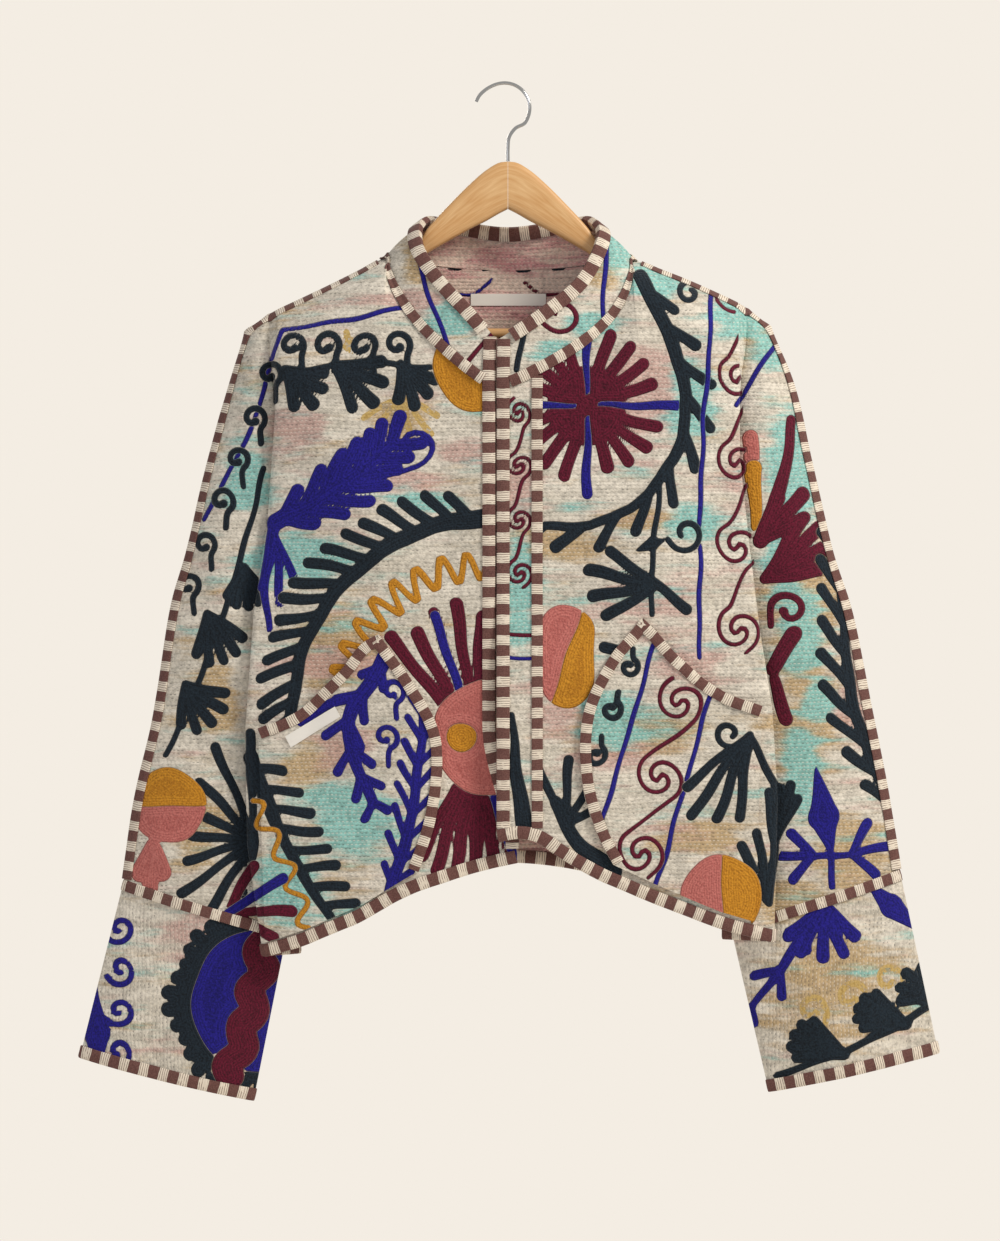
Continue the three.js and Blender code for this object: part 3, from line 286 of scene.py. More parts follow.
def shell_object(name, grids, wall=WALL):
    """A closed wall of cloth: its outer face, the same face one wall further in, its edges."""
    places, quads, start = [], [], 0
    for grid, outward in grids:
        places.append(grid.reshape(-1, 3))
        quads.append(faces_of(grid, outward) + start)
        start += grid.shape[0] * grid.shape[1]
    places = np.vstack(places)
    _, first, same = np.unique(np.round(places, 2), axis=0, return_index=True, return_inverse=True)
    points, quads = places[first], same.ravel()[np.vstack(quads)]
    distinct = [len(set(q)) == 4 for q in quads.tolist()]
    quads = quads[distinct]
    normals = np.zeros_like(points)
    a, b, c, d = (points[quads[:, k]] for k in range(4))
    turned = np.cross(c - a, d - b)
    for k in range(4):
        np.add.at(normals, quads[:, k], turned)
    normals /= np.linalg.norm(normals, axis=1)[:, None] + 1e-9
    count = len(points)
    edges = {}
    for q in quads.tolist():
        for v, w in zip(q, q[1:] + q[:1]):
            if (w, v) in edges:
                del edges[(w, v)]
            else:
                edges[(v, w)] = True
    rim = [(w, v, v + count, w + count) for v, w in edges]
    faces = np.vstack([quads, quads[:, ::-1] + count, rim])
    obj = mesh_object(name, np.vstack([points, points - normals * wall]), faces)
    inside = obj.data.attributes.new("inside", "FLOAT", "POINT")
    inside.data.foreach_set("value", np.r_[np.zeros(count), np.ones(count)])
    return obj


def declare(obj, node, flat=None):
    """Hangs a cloth piece from the root and hides the drafted part it stands for; its flat size is worked out, but kept
    nowhere.
    """
    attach(obj, "root")
    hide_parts(node)
    area = sum(p.area for p in obj.data.polygons) / 2
    if flat is None:
        low, high = np.array(obj.bound_box).min(0), np.array(obj.bound_box).max(0)
        wide = max(high[0] - low[0], high[1] - low[1])
        tall = max(high[2] - low[2], area / wide)
        flat = (float(wide), float(tall))


FRONT, BEHIND = np.array([0, -1.0, 0]), np.array([0, 1.0, 0])
right_body, right_sleeve = sheet_grids(RIGHT, -1, 12)
left_body, left_sleeve = sheet_grids(LEFT, -1, 12)
back_right_body, back_right_sleeve = sheet_grids(RIGHT, 1, 7)
back_left_body, back_left_sleeve = sheet_grids(LEFT, 1, 7)
split = LEFT["band"] * FINE
front_right = shell_object("quilted_front_right", [(right_body, FRONT), (right_sleeve, FRONT)])
front_left = shell_object("quilted_front_left", [(left_body[:, split:], FRONT), (left_sleeve, FRONT)])
placket_band = shell_object("quilted_placket_band", [(left_body[:, : split + 1], FRONT)])
back = shell_object("quilted_back", [(back_right_body, BEHIND), (back_right_sleeve, BEHIND),
                                     (back_left_body, BEHIND), (back_left_sleeve, BEHIND)])

# ---------- cuffs ----------
# A tube of the same quilted cotton at the end of each sleeve, cut on a slant and sewn on
# under a striped tape; it hangs flattened.


def cuff_grid(side):
    down = np.linspace(0, 1, 6 * FINE + 1)
    top = curve_through(side["overarm"])(1.0)
    inner_top, outer_hem, inner_hem = (np.array(p, float) for p in side["cuff"])
    inner = inner_top + (inner_hem - inner_top) * down[:, None]
    outer = top + (outer_hem - top) * down[:, None]
    columns = []
    for step in np.arange(12 * FINE) / FINE:
        face, share = (-1, step / 6) if step < 6 else (1, 2 - step / 6)
        here = (inner[:, 0], 0 * down, inner[:, 1])
        columns.append(ring_point(here, outer.T, 17 + 0 * down, share, face, side["sign"]))
    grid = np.stack(columns + columns[:1], 1)
    middle = (grid[:, : 6 * FINE].mean(1) + grid[:, 6 * FINE : -1].mean(1)) / 2
    return grid, grid - middle[:, None]


cuff_grids = {"right": cuff_grid(RIGHT), "left": cuff_grid(LEFT)}
cuff_right = shell_object("quilted_cuff_right", [cuff_grids["right"]])
cuff_left = shell_object("quilted_cuff_left", [cuff_grids["left"]])

# ---------- standing collar ----------
# One bias strip of quilted cotton, sewn to the neck and standing up round the hanger's
# arms; its ends cross in front, where the left one lies under the right one.

COLLAR_EDGE = [(-12, -43, -233), (-32, -42, -210), (-64, -36, -174), (-79, -25, -149),
               (-81, -8, -130), (-73, 10, -121), (-50, 26, -122), (0, 34, -128), (50, 26, -122),
               (74, 10, -121), (83, -8, -130), (81, -25, -147), (63, -38, -181),
               (26, -45, -212), (-8, -46, -235)]
neck_parts = [right_body[0, : 8 * FINE + 1], back_right_body[0, : 6 * FINE + 1][::-1][1:],
              back_left_body[0, : 6 * FINE + 1][1:], left_body[0, : 9 * FINE + 1][::-1][1:]]
neck_seam = np.vstack(neck_parts)
neck_share = np.linspace(0, 1, len(neck_seam))
neck_edge = curve_through(COLLAR_EDGE)(neck_share)
collar_rows = []
for up in np.linspace(0, 1, 3 * FINE + 1):
    line = neck_seam + (neck_edge - neck_seam) * up
    outward = line * (1, 1, 0)
    outward /= np.linalg.norm(outward, axis=1)[:, None]
    roll = 4 * np.sin(np.pi * up) * np.sin(np.pi * neck_share)
    collar_rows.append(line + outward * roll[:, None])
collar_grid = np.stack(collar_rows)
collar = shell_object("quilted_collar", [(collar_grid, collar_grid * (1, 1, 0))])

# ---------- patch pockets ----------
# One layer of the quilted cotton on each front. The mouth slants up from the side to an
# apex, and the inner edge falls from there to just above the hem.

POCKETS = {
    "right": ([(224, -584), (190, -569), (150, -532), (131, -508), (116, -499)],
              [(116, -499), (84, -545), (64, -582), (60, -618), (66, -668), (80, -712)]),
    "left": ([(228, -564), (190, -549), (155, -522), (134, -498), (120, -484)],
             [(120, -484), (88, -524), (67, -570), (66, -632), (80, -680), (94, -706)]),
}


def cloth_finder(obj, start, toward):
    """Finds the cloth's face and its direction behind a place seen from the front."""
    tree = BVHTree.FromObject(obj, bpy.context.evaluated_depsgraph_get())

    def find(x, z):
        place, normal, _, _ = tree.ray_cast(Vector((x / 1000, start, z / 1000)), Vector((0, toward, 0)))
        return np.array(place) * 1000, np.array(normal)

    return find


def pocket_grid(side, face_of, mouth, inner, steps=92):
    side_out, bottom_out = mouth[0][0], inner[-1][0]
    hem_z = lambda out: hem_height(side, -1, out) + 11.5
    points, normals = [], []
    for v in np.linspace(0, 1, steps + 1):
        for u in np.linspace(0, 1, steps + 1):
            top, right = curve_through(mouth)(u), curve_through(inner)(v)
            hem_out = side_out - 6 + (bottom_out - side_out + 6) * u
            left = np.array([side_out - 6 * v, mouth[0][1] + (hem_z(side_out - 6) - mouth[0][1]) * v])
            corner = [
                (side_out + (inner[0][0] - side_out) * u) * (1 - v) + hem_out * v,
                (mouth[0][1] + (inner[0][1] - mouth[0][1]) * u) * (1 - v)
                + (hem_z(side_out) + (hem_z(bottom_out) - hem_z(side_out)) * u) * v,
            ]
            x = top[0] * (1 - v) + hem_out * v + left[0] * (1 - u) + right[0] * u - corner[0]
            z = top[1] * (1 - v) + hem_z(hem_out) * v + left[1] * (1 - u) + right[1] * u - corner[1]
            place, normal = face_of(side["sign"] * x, z)
            # The mouth stands a little off the front; the sewn edges lie close to it.
            gape = 2.2 * np.sin(np.pi * u) * (1 - smooth(v, 0, 0.35))
            points.append(place + normal * (3.5 + gape))
            normals.append(normal)
    shape = (steps + 1, steps + 1, 3)
    return np.array(points).reshape(shape), np.array(normals).reshape(shape)


bpy.context.view_layer.update()
pockets = {}
for name, side, cloth in (("right", RIGHT, front_right), ("left", LEFT, front_left)):
    grid, normals = pocket_grid(side, cloth_finder(cloth, -0.3, 1), *POCKETS[name])
    pockets[name] = shell_object("quilted_pocket_" + name, [(grid, FRONT)], wall=2), grid, normals

# ---------- striped bindings ----------
# Woven cotton tape, brown blocks and ivory blocks with thin lines, folded over every free edge and
# laid flat over every seam, then sewn down with short stitches close to its edges.

TAPE_WIDTH, TAPE_THICK, TAPE_LIFT = 10, 1.2, 0.6
cut_of = {}  # width and length of each tape before it was folded


def unit(v):
    return v / (np.linalg.norm(v, axis=-1, keepdims=True) + 1e-9)


def grid_normals(grid, outward):
    normals = unit(np.cross(np.gradient(grid, axis=1), np.gradient(grid, axis=0)))
    return normals * np.sign(np.sum(normals * outward))


def strip_object(name, sections, run, across, closed):
    """A tape or arm from section to section, with its length and its width in a UV map."""
    count, size = sections.shape[:2]
    here = np.arange(count if closed else count - 1)[:, None] * size
    there = (here + size) % (count * size)
    i = np.arange(size)
    j = (i + 1) % size
    quads = np.stack(np.broadcast_arrays(here + i, here + j, there + j, there + i), -1).reshape(-1, 4)
    faces = quads.tolist()
    if not closed:
        faces += [list(range(size))[::-1], [(count - 1) * size + k for k in range(size)]]
    volume_test = sections.reshape(-1, 3)
    a, b, c = (volume_test[quads[:, k]] for k in range(3))
    centre = np.repeat(sections.mean(1), size, 0)[: len(quads)]
    if np.sum(np.cross(b - a, c - a) * (a - centre)) < 0:
        faces = [f[::-1] for f in faces]
        turned = True
    else:
        turned = False
    obj = mesh_object(name, volume_test, faces, 50)
    rows = np.repeat(np.arange(len(here)), size)
    columns = np.tile(i, len(here))
    u0, u1, v0, v1 = run[rows], run[rows + 1], across[columns], across[columns + 1]
    corners = np.stack([np.stack([u0, v0], -1), np.stack([u0, v1], -1),
                        np.stack([u1, v1], -1), np.stack([u1, v0], -1)], 1)
    if turned:
        corners = corners[:, ::-1]
    uv = np.zeros((len(obj.data.loops), 2))
    uv[: len(quads) * 4] = corners.reshape(-1, 2) / 1000
    obj.data.uv_layers.new(name="length").data.foreach_set("uv", uv.ravel())
    return obj


def tape(name, line, normal, a, b=None, wall=WALL, trim=(0, 0), closed=False, lift=TAPE_LIFT, over=True):
    """A binding along a line of the cloth: over a seam if b is given, else folded over an edge."""
    if closed:
        line, normal, a = (np.vstack([k, k[:1]]) for k in (line, normal, a))
        b = None if b is None else np.vstack([b, b[:1]])
    run = np.r_[0, np.cumsum(np.linalg.norm(np.diff(line, axis=0), axis=1))]
    at = np.linspace(trim[0], run[-1] - trim[1], max(4, int((run[-1] - sum(trim)) / 2.6)))
    read = lambda k: np.stack([np.interp(at, run, k[:, c]) for c in range(3)], -1)
    line, normal, a = read(line), unit(read(unit(normal))), unit(read(unit(a)))
    square = lambda n, d: unit(n - d * np.sum(n * d, -1, keepdims=True))
    tangent = unit(np.gradient(line, axis=0))
    a = square(a, tangent)
    na = square(normal, a)
    low, high = lift, lift + TAPE_THICK
    # The sewn edges lie closer to the cloth than the middle, and the tape puckers a little.
    swell = (0.25 * np.sin(at / 2.9) * np.sin(at / 7.3 + len(name)))[:, None]
    if b is not None:
        b = square(unit(read(unit(b))), tangent)
        nb = square(normal, b)
        ridge = 1 / np.maximum(0.5, np.minimum(np.sum(normal * na, -1), np.sum(normal * nb, -1)))[:, None]
        half = TAPE_WIDTH / 2
        section = [line + a * half + na * low, line + normal * low * ridge, line + b * half + nb * low,
                   line + b * half + nb * (high - 0.4), line + b * (half - 0.8) + nb * high,
                   line + b * half * 0.5 + nb * (high + swell),
                   line + normal * (high + 0.2) * ridge, line + a * half * 0.5 + na * (high + swell),
                   line + a * (half - 0.8) + na * high, line + a * half + na * (high - 0.4)]
        across = np.array([0, 5, 10, 10.2, 11, 13, 15, 17, 19, 19.8, 20])
    elif not over:
        section = [line + a * TAPE_WIDTH + na * low, line + na * low, line + na * (high - 0.4),
                   line + a * 0.8 + na * high, line + a * 5 + na * (high + 0.2 + swell),
                   line + a * 9.2 + na * high, line + a * TAPE_WIDTH + na * (high - 0.4)]
        across = np.array([0, 10, 10.2, 11, 15, 19, 19.8, 20])
    else:
        inner = line - normal * wall
        section = [line + a * TAPE_WIDTH + na * low, line + a * TAPE_WIDTH + na * (high - 0.4),
                   line + a * 9.2 + na * high, line + a * 5 + na * (high + 0.2 + swell),
                   line + a * 0.5 + na * high, line - a * (high - 0.5) + na * (high - 0.8),
                   (line + inner) / 2 - a * high, inner - a * (high - 0.5) - na * (high - 0.8),
                   inner + a * 0.5 - na * high, inner + a * 9.2 - na * high,
                   inner + a * TAPE_WIDTH - na * (high - 0.4), inner + a * TAPE_WIDTH - na * low,
                   inner - a * low - na * low * 0, line - a * low + na * low * 0]
        across = np.array([20, 19.8, 19, 15, 10.5, 9.5, 8, 6.5, 6, -3, -4, -4.2, 8, 8, 20])
    sections = np.stack(section, 1)
    if closed:
        sections = sections[:-1]
    obj = strip_object("striped_" + name, sections, at, across, closed)
    wide = 10.4 if b is not None or not over else 25
    cut_of[obj.name] = (wide / 1000, (at[-1] - at[0]) / 1000)
    return obj


right_n, left_n = grid_normals(right_body, FRONT), grid_normals(left_body, FRONT)
right_sn, left_sn = grid_normals(right_sleeve, FRONT), grid_normals(left_sleeve, FRONT)
back_right_n, back_left_n = grid_normals(back_right_body, BEHIND), grid_normals(back_left_body, BEHIND)
back_right_sn = grid_normals(back_right_sleeve, BEHIND)
back_left_sn = grid_normals(back_left_sleeve, BEHIND)
collar_n = grid_normals(collar_grid, collar_grid * (1, 1, 0))
tapes = {}
for name, side, (body, body_n, sleeve, sleeve_n), (bb, bb_n, bs, bs_n), cuff in (
    ("right", RIGHT, (right_body, right_n, right_sleeve, right_sn),
     (back_right_body, back_right_n, back_right_sleeve, back_right_sn), cuff_right),
    ("left", LEFT, (left_body, left_n, left_sleeve, left_sn),
     (back_left_body, back_left_n, back_left_sleeve, back_left_sn), cuff_left),
):
    start = side["neck_columns"] * FINE
    line = np.vstack([body[1, start:], sleeve[1, 1:-2], sleeve[2:, -2]])
    a = np.vstack([body[4, start:], sleeve[4, 1:-2], sleeve[2:, -5]]) - line
    b = np.vstack([body[0, start:], sleeve[0, 1:-2], sleeve[2:, -1]]) - line
    over_n = np.vstack([body_n[1, start:], sleeve_n[1, 1:-2], sleeve_n[2:, -2]])
    tapes["shoulder_tape_" + name] = tape("shoulder_tape_" + name, line, over_n, a, b, trim=(6, 6))
    tapes["hem_tape_" + name] = tape("hem_tape_" + name, body[-1], body_n[-1], body[-3] - body[-1], trim=(0, 0.2))
    column, step = (0, 1) if name == "right" else (-1, -1)
    edge = np.vstack([body[::-1, 0], collar_grid[1:, column]])
    edge_n = np.vstack([body_n[::-1, 0], collar_n[1:, column]])
    inward = np.vstack([body[::-1, 2], collar_grid[1:, column + 2 * step]]) - edge
    tapes["front_edge_tape_" + name] = tape("front_edge_tape_" + name, edge, edge_n, inward, trim=(11.2, 0))
    grid, outward = cuff_grids[name]
    cuff_n = grid_normals(grid, outward)
    ring, ring_n = grid[0, :-1], cuff_n[0, :-1]
    tapes["cuff_seam_tape_" + name] = tape("cuff_seam_tape_" + name, ring, ring_n, (grid[2] - grid[0])[:-1],
                                           -(grid[2] - grid[0])[:-1], closed=True)
    tapes["cuff_hem_tape_" + name] = tape("cuff_hem_tape_" + name, grid[-1, :-1], cuff_n[-1, :-1],
                                          (grid[-3] - grid[-1])[:-1], closed=True)
    _, p_grid, p_n = pockets[name]
    line = np.vstack([p_grid[0], p_grid[1:, -1]])
    inward = np.vstack([p_grid[2] - p_grid[0], (p_grid[:, -3] - p_grid[:, -1])[1:]])
    p_line_n = np.vstack([p_n[0], p_n[1:, -1]])
    corner = len(p_grid[0]) - 1
    inward[corner] = unit(unit(inward[corner - 2]) + unit(inward[corner + 2]))
    tapes["pocket_" + name + "_tape"] = tape("pocket_" + name + "_tape", line, p_line_n, inward, over=False)

hem = np.vstack([back_right_body[-1][::-1], back_left_body[-1][1:]])
hem_n = np.vstack([back_right_n[-1][::-1], back_left_n[-1][1:]])
inward = np.vstack([back_right_body[-3][::-1], back_left_body[-3][1:]]) - hem
tapes["back_hem_tape"] = tape("back_hem_tape", hem, hem_n, inward, trim=(0.2, 0.2))
tapes["collar_edge_tape"] = tape("collar_edge_tape", collar_grid[-1], collar_n[-1], collar_grid[-3] - collar_grid[-1],
                                 trim=(11.2, 11.2), lift=1.4)
below = np.vstack([right_body[2, : 8 * FINE + 1], back_right_body[2, : 6 * FINE + 1][::-1][1:],
                   back_left_body[2, : 6 * FINE + 1][1:], left_body[2, : 9 * FINE + 1][::-1][1:]]) - neck_seam
neck_n = unit(collar_n[0] + unit(np.vstack([right_n[1, : 8 * FINE + 1], back_right_n[1, : 6 * FINE + 1][::-1][1:],
              back_left_n[1, : 6 * FINE + 1][1:], left_n[1, : 9 * FINE + 1][::-1][1:]])))
tapes["neck_seam_tape"] = tape("neck_seam_tape", neck_seam, neck_n, collar_grid[2] - neck_seam, below,
                               trim=(11.2, 11.2), lift=1.0)
line = left_body[:, split]
tapes["placket_seam_tape"] = tape("placket_seam_tape", line, left_n[:, split], left_body[:, split + 2] - line,
                                  left_body[:, split - 2] - line, trim=(6, 11.2))

# ---------- labels ----------
# Two small woven satin labels with nothing on them: one sewn under the pocket's mouth, one inside
# the back of the neck.


def label(name, corners, finder, lift):
    top, bottom = (np.array(c, float) for c in corners)
    lines = []
    for down in np.linspace(0, 1, 7):
        line = []
        for share in np.linspace(0, 1, 25):
            x, z = (top[0] + (top[1] - top[0]) * share) * (1 - down) + (bottom[0] + (bottom[1] - bottom[0]) * share) * down
            place, normal = finder(x, z)
            line.append(place + normal * lift)
        lines.append(line)
    return shell_object(name, [(np.array(lines), FRONT)], wall=0.6)


bpy.context.view_layer.update()
pocket_label = label("woven_label_pocket", [[(-200, -591), (-155, -564)], [(-195, -601), (-150, -573)]],
                     cloth_finder(pockets["right"][0], -0.3, 1), 1.4)
neck_label = label("woven_label_neck", [[(-34, -187), (35, -187)], [(-34, -198), (35, -198)]],
                   cloth_finder(back, 0.0, 1), 1.1)

# ---------- hanger ----------
# Two arms of light oiled wood, mitred in the middle; a round wooden bar under them; a bright
# steel wire hook screwed in at the top.

ARM = np.array([(0, -70, -113), (8, -71, -117), (20, -78, -124), (34, -90, -131), (52, -108, -141),
                (73, -131, -153), (84, -147, -163), (96, -159, -174), (114, -169, -186),
                (144, -183, -201), (174, -197.5, -216), (184, -202.5, -221), (184.5, -202.7, -233),
                (200, -210, -236), (207, -215.5, -232)])


def section_round(count=32):
    angle = np.arange(count) * 2 * np.pi / count
    soft = lambda n: np.sign(n) * np.abs(n) ** 0.5
    return soft(np.cos(angle)), soft(np.sin(angle))


arms = {}
for name, sign in (("right", -1), ("left", 1)):
    out = np.unique(np.r_[np.linspace(0, 183, 60), 184, 184.5, np.linspace(186, 207, 9)])
    upper = np.r_[[curve_through(ARM[:12, :2])(s)[1] for s in
                   [share_where(curve_through(ARM[:12, :2]), o) for o in out if o <= 184]],
                  np.interp(out[out > 184], ARM[:, 0], ARM[:, 1])]
    lower = np.interp(out, ARM[:, 0], ARM[:, 2])
    y, s = section_round()
    sections = np.stack([np.stack([sign * np.maximum(o, 0.15) + 0 * y, 6.5 * y, (t + b) / 2 + (t - b) / 2 * s], -1)
                         for o, t, b in zip(out, upper, lower)])
    middle = np.stack([out, (upper + lower) / 2], -1)
    run = np.r_[0, np.cumsum(np.linalg.norm(np.diff(middle, axis=0), axis=1))] * 1.0
    arms[name] = strip_object("wooden_arm_" + name, sections, np.r_[run, run[-1]], np.linspace(0, 100, 33), False)
angle = np.arange(24) * 2 * np.pi / 24
bar_x = np.linspace(-183.7, 183.7, 24)
sections = np.stack([np.stack([x + 0 * angle, 4.5 * np.cos(angle), -226 + 4.5 * np.sin(angle)], -1) for x in bar_x])
bar = strip_object("wooden_bar", sections, np.r_[bar_x, bar_x[-1]], np.linspace(0, 28, 25), False)

hook_points = [(0, 0, -69.7), (0, 0, -58), (1.2, 0, -47.5), (7, 0, -39.5)]
for degrees in np.arange(-38, 166, 14.5):
    turn = math.radians(degrees)
    spread = 22.8 + 4 * smooth(degrees, 90, 165)
    hook_points.append((-3 + spread * math.cos(turn), 0, -21.2 + 22.8 * math.sin(turn)))
hook_line = curve_through(hook_points)(np.linspace(0, 1, 120))
hook_mesh = bpy.data.meshes.new("steel_hook")
hook_mesh.from_pydata((hook_line / 1000).tolist(), [(k, k + 1) for k in range(119)], [])
hook = bpy.data.objects.new("steel_hook", hook_mesh)
bpy.context.scene.collection.objects.link(hook)


def add(tree, kind, inputs=(), **settings):
    """Adds a node with its settings, values and links, and returns its outputs."""
    node = tree.nodes.new(kind)
    for key, value in settings.items():
        setattr(node, key, value)
    for key, value in dict(inputs).items():
        if isinstance(value, bpy.types.NodeSocket):
            tree.links.new(value, node.inputs[key])
        else:
            node.inputs[key].default_value = value
    return node.outputs


def paint(code):
    """The linear colour of an sRGB hex code."""
    parts = [int(code[k : k + 2], 16) / 255 for k in (1, 3, 5)]
    return [((p + 0.055) / 1.055) ** 2.4 if p > 0.04045 else p / 12.92 for p in parts] + [1]


def material(name):
    made = bpy.data.materials.new(name)
    made.use_nodes = True
    made.node_tree.nodes.clear()
    return made, made.node_tree


def finish_material(tree, shader):
    add(tree, "ShaderNodeOutputMaterial", {"Surface": shader})


# Polished steel: bright, with a slightly soft reflection.
steel, tree = material("polished_steel")
finish_material(tree, add(tree, "ShaderNodeBsdfPrincipled", {
    "Base Color": paint("#c9cbcd"), "Metallic": 1.0, "Roughness": 0.16})["BSDF"])

wire = bpy.data.node_groups.new("wire_along_line", "GeometryNodeTree")
wire.interface.new_socket("Line", in_out="INPUT", socket_type="NodeSocketGeometry")
radius = wire.interface.new_socket("Wire radius", in_out="INPUT", socket_type="NodeSocketFloat")
metal = wire.interface.new_socket("Metal", in_out="INPUT", socket_type="NodeSocketMaterial")
wire.interface.new_socket("Wire", in_out="OUTPUT", socket_type="NodeSocketGeometry")
given = add(wire, "NodeGroupInput")
path = add(wire, "GeometryNodeMeshToCurve", {"Mesh": given["Line"]})[0]
ring = add(wire, "GeometryNodeCurvePrimitiveCircle", {"Resolution": 20, "Radius": given["Wire radius"]})[0]
tube = add(wire, "GeometryNodeCurveToMesh", {"Curve": path, "Profile Curve": ring, "Fill Caps": True})[0]
soft = add(wire, "GeometryNodeSetShadeSmooth", {"Geometry": tube})[0]
whole = add(wire, "GeometryNodeRealizeInstances", {"Geometry": soft})[0]
done = add(wire, "GeometryNodeSetMaterial", {"Geometry": whole, "Material": given["Metal"]})[0]
add(wire, "NodeGroupOutput", {"Wire": done})
modifier = hook.modifiers.new("wire", "NODES")
modifier.node_group = wire
modifier[radius.identifier] = 0.0016
modifier[metal.identifier] = steel
bpy.context.view_layer.update()
baked = bpy.data.meshes.new_from_object(hook.evaluated_get(bpy.context.evaluated_depsgraph_get()))
hook.modifiers.remove(modifier)
hook.data = baked

# Oiled hardwood: warm honey with long, fine, darker grain along each arm, and a soft gloss.
wood, tree = material("oiled_wood")
grain = add(tree, "ShaderNodeUVMap", uv_map="length")[0]
long = add(tree, "ShaderNodeMapping", {"Vector": grain, "Scale": (9.0, 60.0, 1.0)})[0]
waves = add(tree, "ShaderNodeTexNoise", {"Vector": long, "Scale": 1.0, "Detail": 4.0, "Distortion": 0.6})
fine = add(tree, "ShaderNodeMapping", {"Vector": grain, "Scale": (40.0, 900.0, 1.0)})[0]
fibres = add(tree, "ShaderNodeTexNoise", {"Vector": fine, "Scale": 1.0, "Detail": 3.0})
tone = add(tree, "ShaderNodeMath", {0: waves["Fac"], 1: fibres["Fac"]}, operation="ADD")[0]
share = add(tree, "ShaderNodeMapRange", {"Value": tone, "From Min": 0.75, "From Max": 1.3})["Result"]
colour = add(tree, "ShaderNodeMix", {0: share, 6: paint("#cf9a5e"), 7: paint("#e8c18d")},
             data_type="RGBA")
finish_material(tree, add(tree, "ShaderNodeBsdfPrincipled", {
    "Base Color": colour[2], "Roughness": 0.42, "Coat Weight": 0.15, "Coat Roughness": 0.3})["BSDF"])

# ---------- embroidery ----------
# Thick soft cotton thread in dense chain stitch: ferns, palmettes, rosettes, spirals, waves and
# two-tone discs, sewn through the layers before the cloth was cut. It stands about 1 mm proud.
# Each ornament is drawn by its own rule from a few sizes and set roughly in place: millimetres
# from the middle and up from the hook's foot, angles in degrees from the right, up being 90.

THREADS = ("teal_black", "blue", "maroon", "mustard", "rose", "ochre")


def toward(angle):
    return np.array([math.cos(math.radians(angle)), math.sin(math.radians(angle))])


def bow(a, b, rise=0):
    """A way from a to b, bent by rise to the right of the way."""
    a, b = np.array(a, float), np.array(b, float)
    run = b - a
    return [tuple(a), tuple((a + b) / 2 + rise * np.array([run[1], -run[0]]) / np.linalg.norm(run)), tuple(b)]


def arc(centre, radius, start, end):
    return [tuple(np.array(centre) + radius * toward(angle)) for angle in np.linspace(start, end, 7)]


def strokes(points, r, r_end=None, parts=16):
    """A line of thread through the points, r mm to each side of its middle."""
    p = curve_through(points)(np.linspace(0, 1, parts + 1))
    radii = np.linspace(r, r if r_end is None else r_end, parts + 1)
    return [(a, b, ra, rb) for a, b, ra, rb in zip(p, p[1:], radii, radii[1:])]


def disc(centre, size, tall=0):
    c = np.array(centre, float)
    return [(c - (0, tall), c + (0, tall), size, size)]


def two_tone(centre, size, mustard_side, tall=0):
    across = -toward(mustard_side)
    return [("mustard", disc(centre, size, tall), (centre, across)), ("rose", disc(centre, size, tall), (centre, -across))]


def spiral(centre, size, start, turns=1.0, hand=1, inner=0.3):
    """Points that wind in to the centre from the angle start."""
    share = np.linspace(0, 1, 12)
    return [tuple(np.array(centre) + size * (1 - (1 - inner) * k) * toward(start + hand * 360 * turns * k)) for k in share]


def curls(centres, size, r, start=-40, hand=1, stem=14):
    """Separate curls, each on a short stem, with a knot at its end."""
    made = []
    for centre in centres:
        way = spiral(centre, size, start, hand=hand)
        made += strokes([(way[0][0], way[0][1] - stem)] + way, r, parts=20) + disc(way[-1], 1.35 * r)
    return made


def scroll(centres, size, r, hand=1):
    """A running scroll: in along one spiral, out along its twin, and on to the next turn."""
    way = []
    for centre in centres:
        way += spiral(centre, size, 110, 0.85, hand, 0.15) + spiral(centre, size, 290, 0.85, hand, 0.15)[::-1]
    return strokes(way, r, parts=44 * len(centres))


def palmette(hub, heading, count, length, r, spread=35, outer=0.8):
    """Round-ended fingers fanned from one hub; the outermost have outer times the length."""
    hub, made = np.array(hub, float), []
    for k, share in enumerate(np.linspace(-1, 1, count) if count > 1 else [0]):
        long = length * (1 + (outer - 1) * abs(share)) * (1 + 0.05 * math.sin(2.3 * k))
        made.append((hub, hub + long * toward(heading + spread * share), 0.75 * r, r))
    return made


def leaf(hub, heading, length, wide):
    hub = np.array(hub, float)
    belly, tip = hub + 0.42 * length * toward(heading), hub + length * toward(heading)
    return [(hub, belly, 0.2 * wide, wide), (belly, tip, wide, 1.2)]


def rosette(hub, count, length, r, start=90, skip=0, root=0.75):
    """Rays all round a hub; with skip, each skip-th place stays free."""
    hub = np.array(hub, float)
    return [(hub, hub + length * (1 + 0.05 * math.sin(5 * k)) * toward(start + 360 * k / count), root * r, r)
            for k in range(count) if not skip or k % skip]


def fern(points, r, count, lean, length, sides=(1, -1), finger=4.6):
    """A stem with slanting fingers, longest in the middle; side 1 is on the left of the way."""
    curve, made = curve_through(points), strokes(points, r, 0.6 * r)
    for k, share in enumerate(np.linspace(0.06, 1, count)):
        root, ahead = curve(share), curve(min(1, share + 0.02)) - curve(share - 0.02)
        heading = math.degrees(math.atan2(ahead[1], ahead[0]))
        long = length * (0.65 + 0.35 * math.sin(math.pi * share)) * (1 + 0.08 * math.sin(7.3 * k))
        for side in sides:
            made.append((root, root + long * toward(heading + side * (lean + 5 * math.sin(3.1 * k))), 0.8 * finger, finger))
    return made


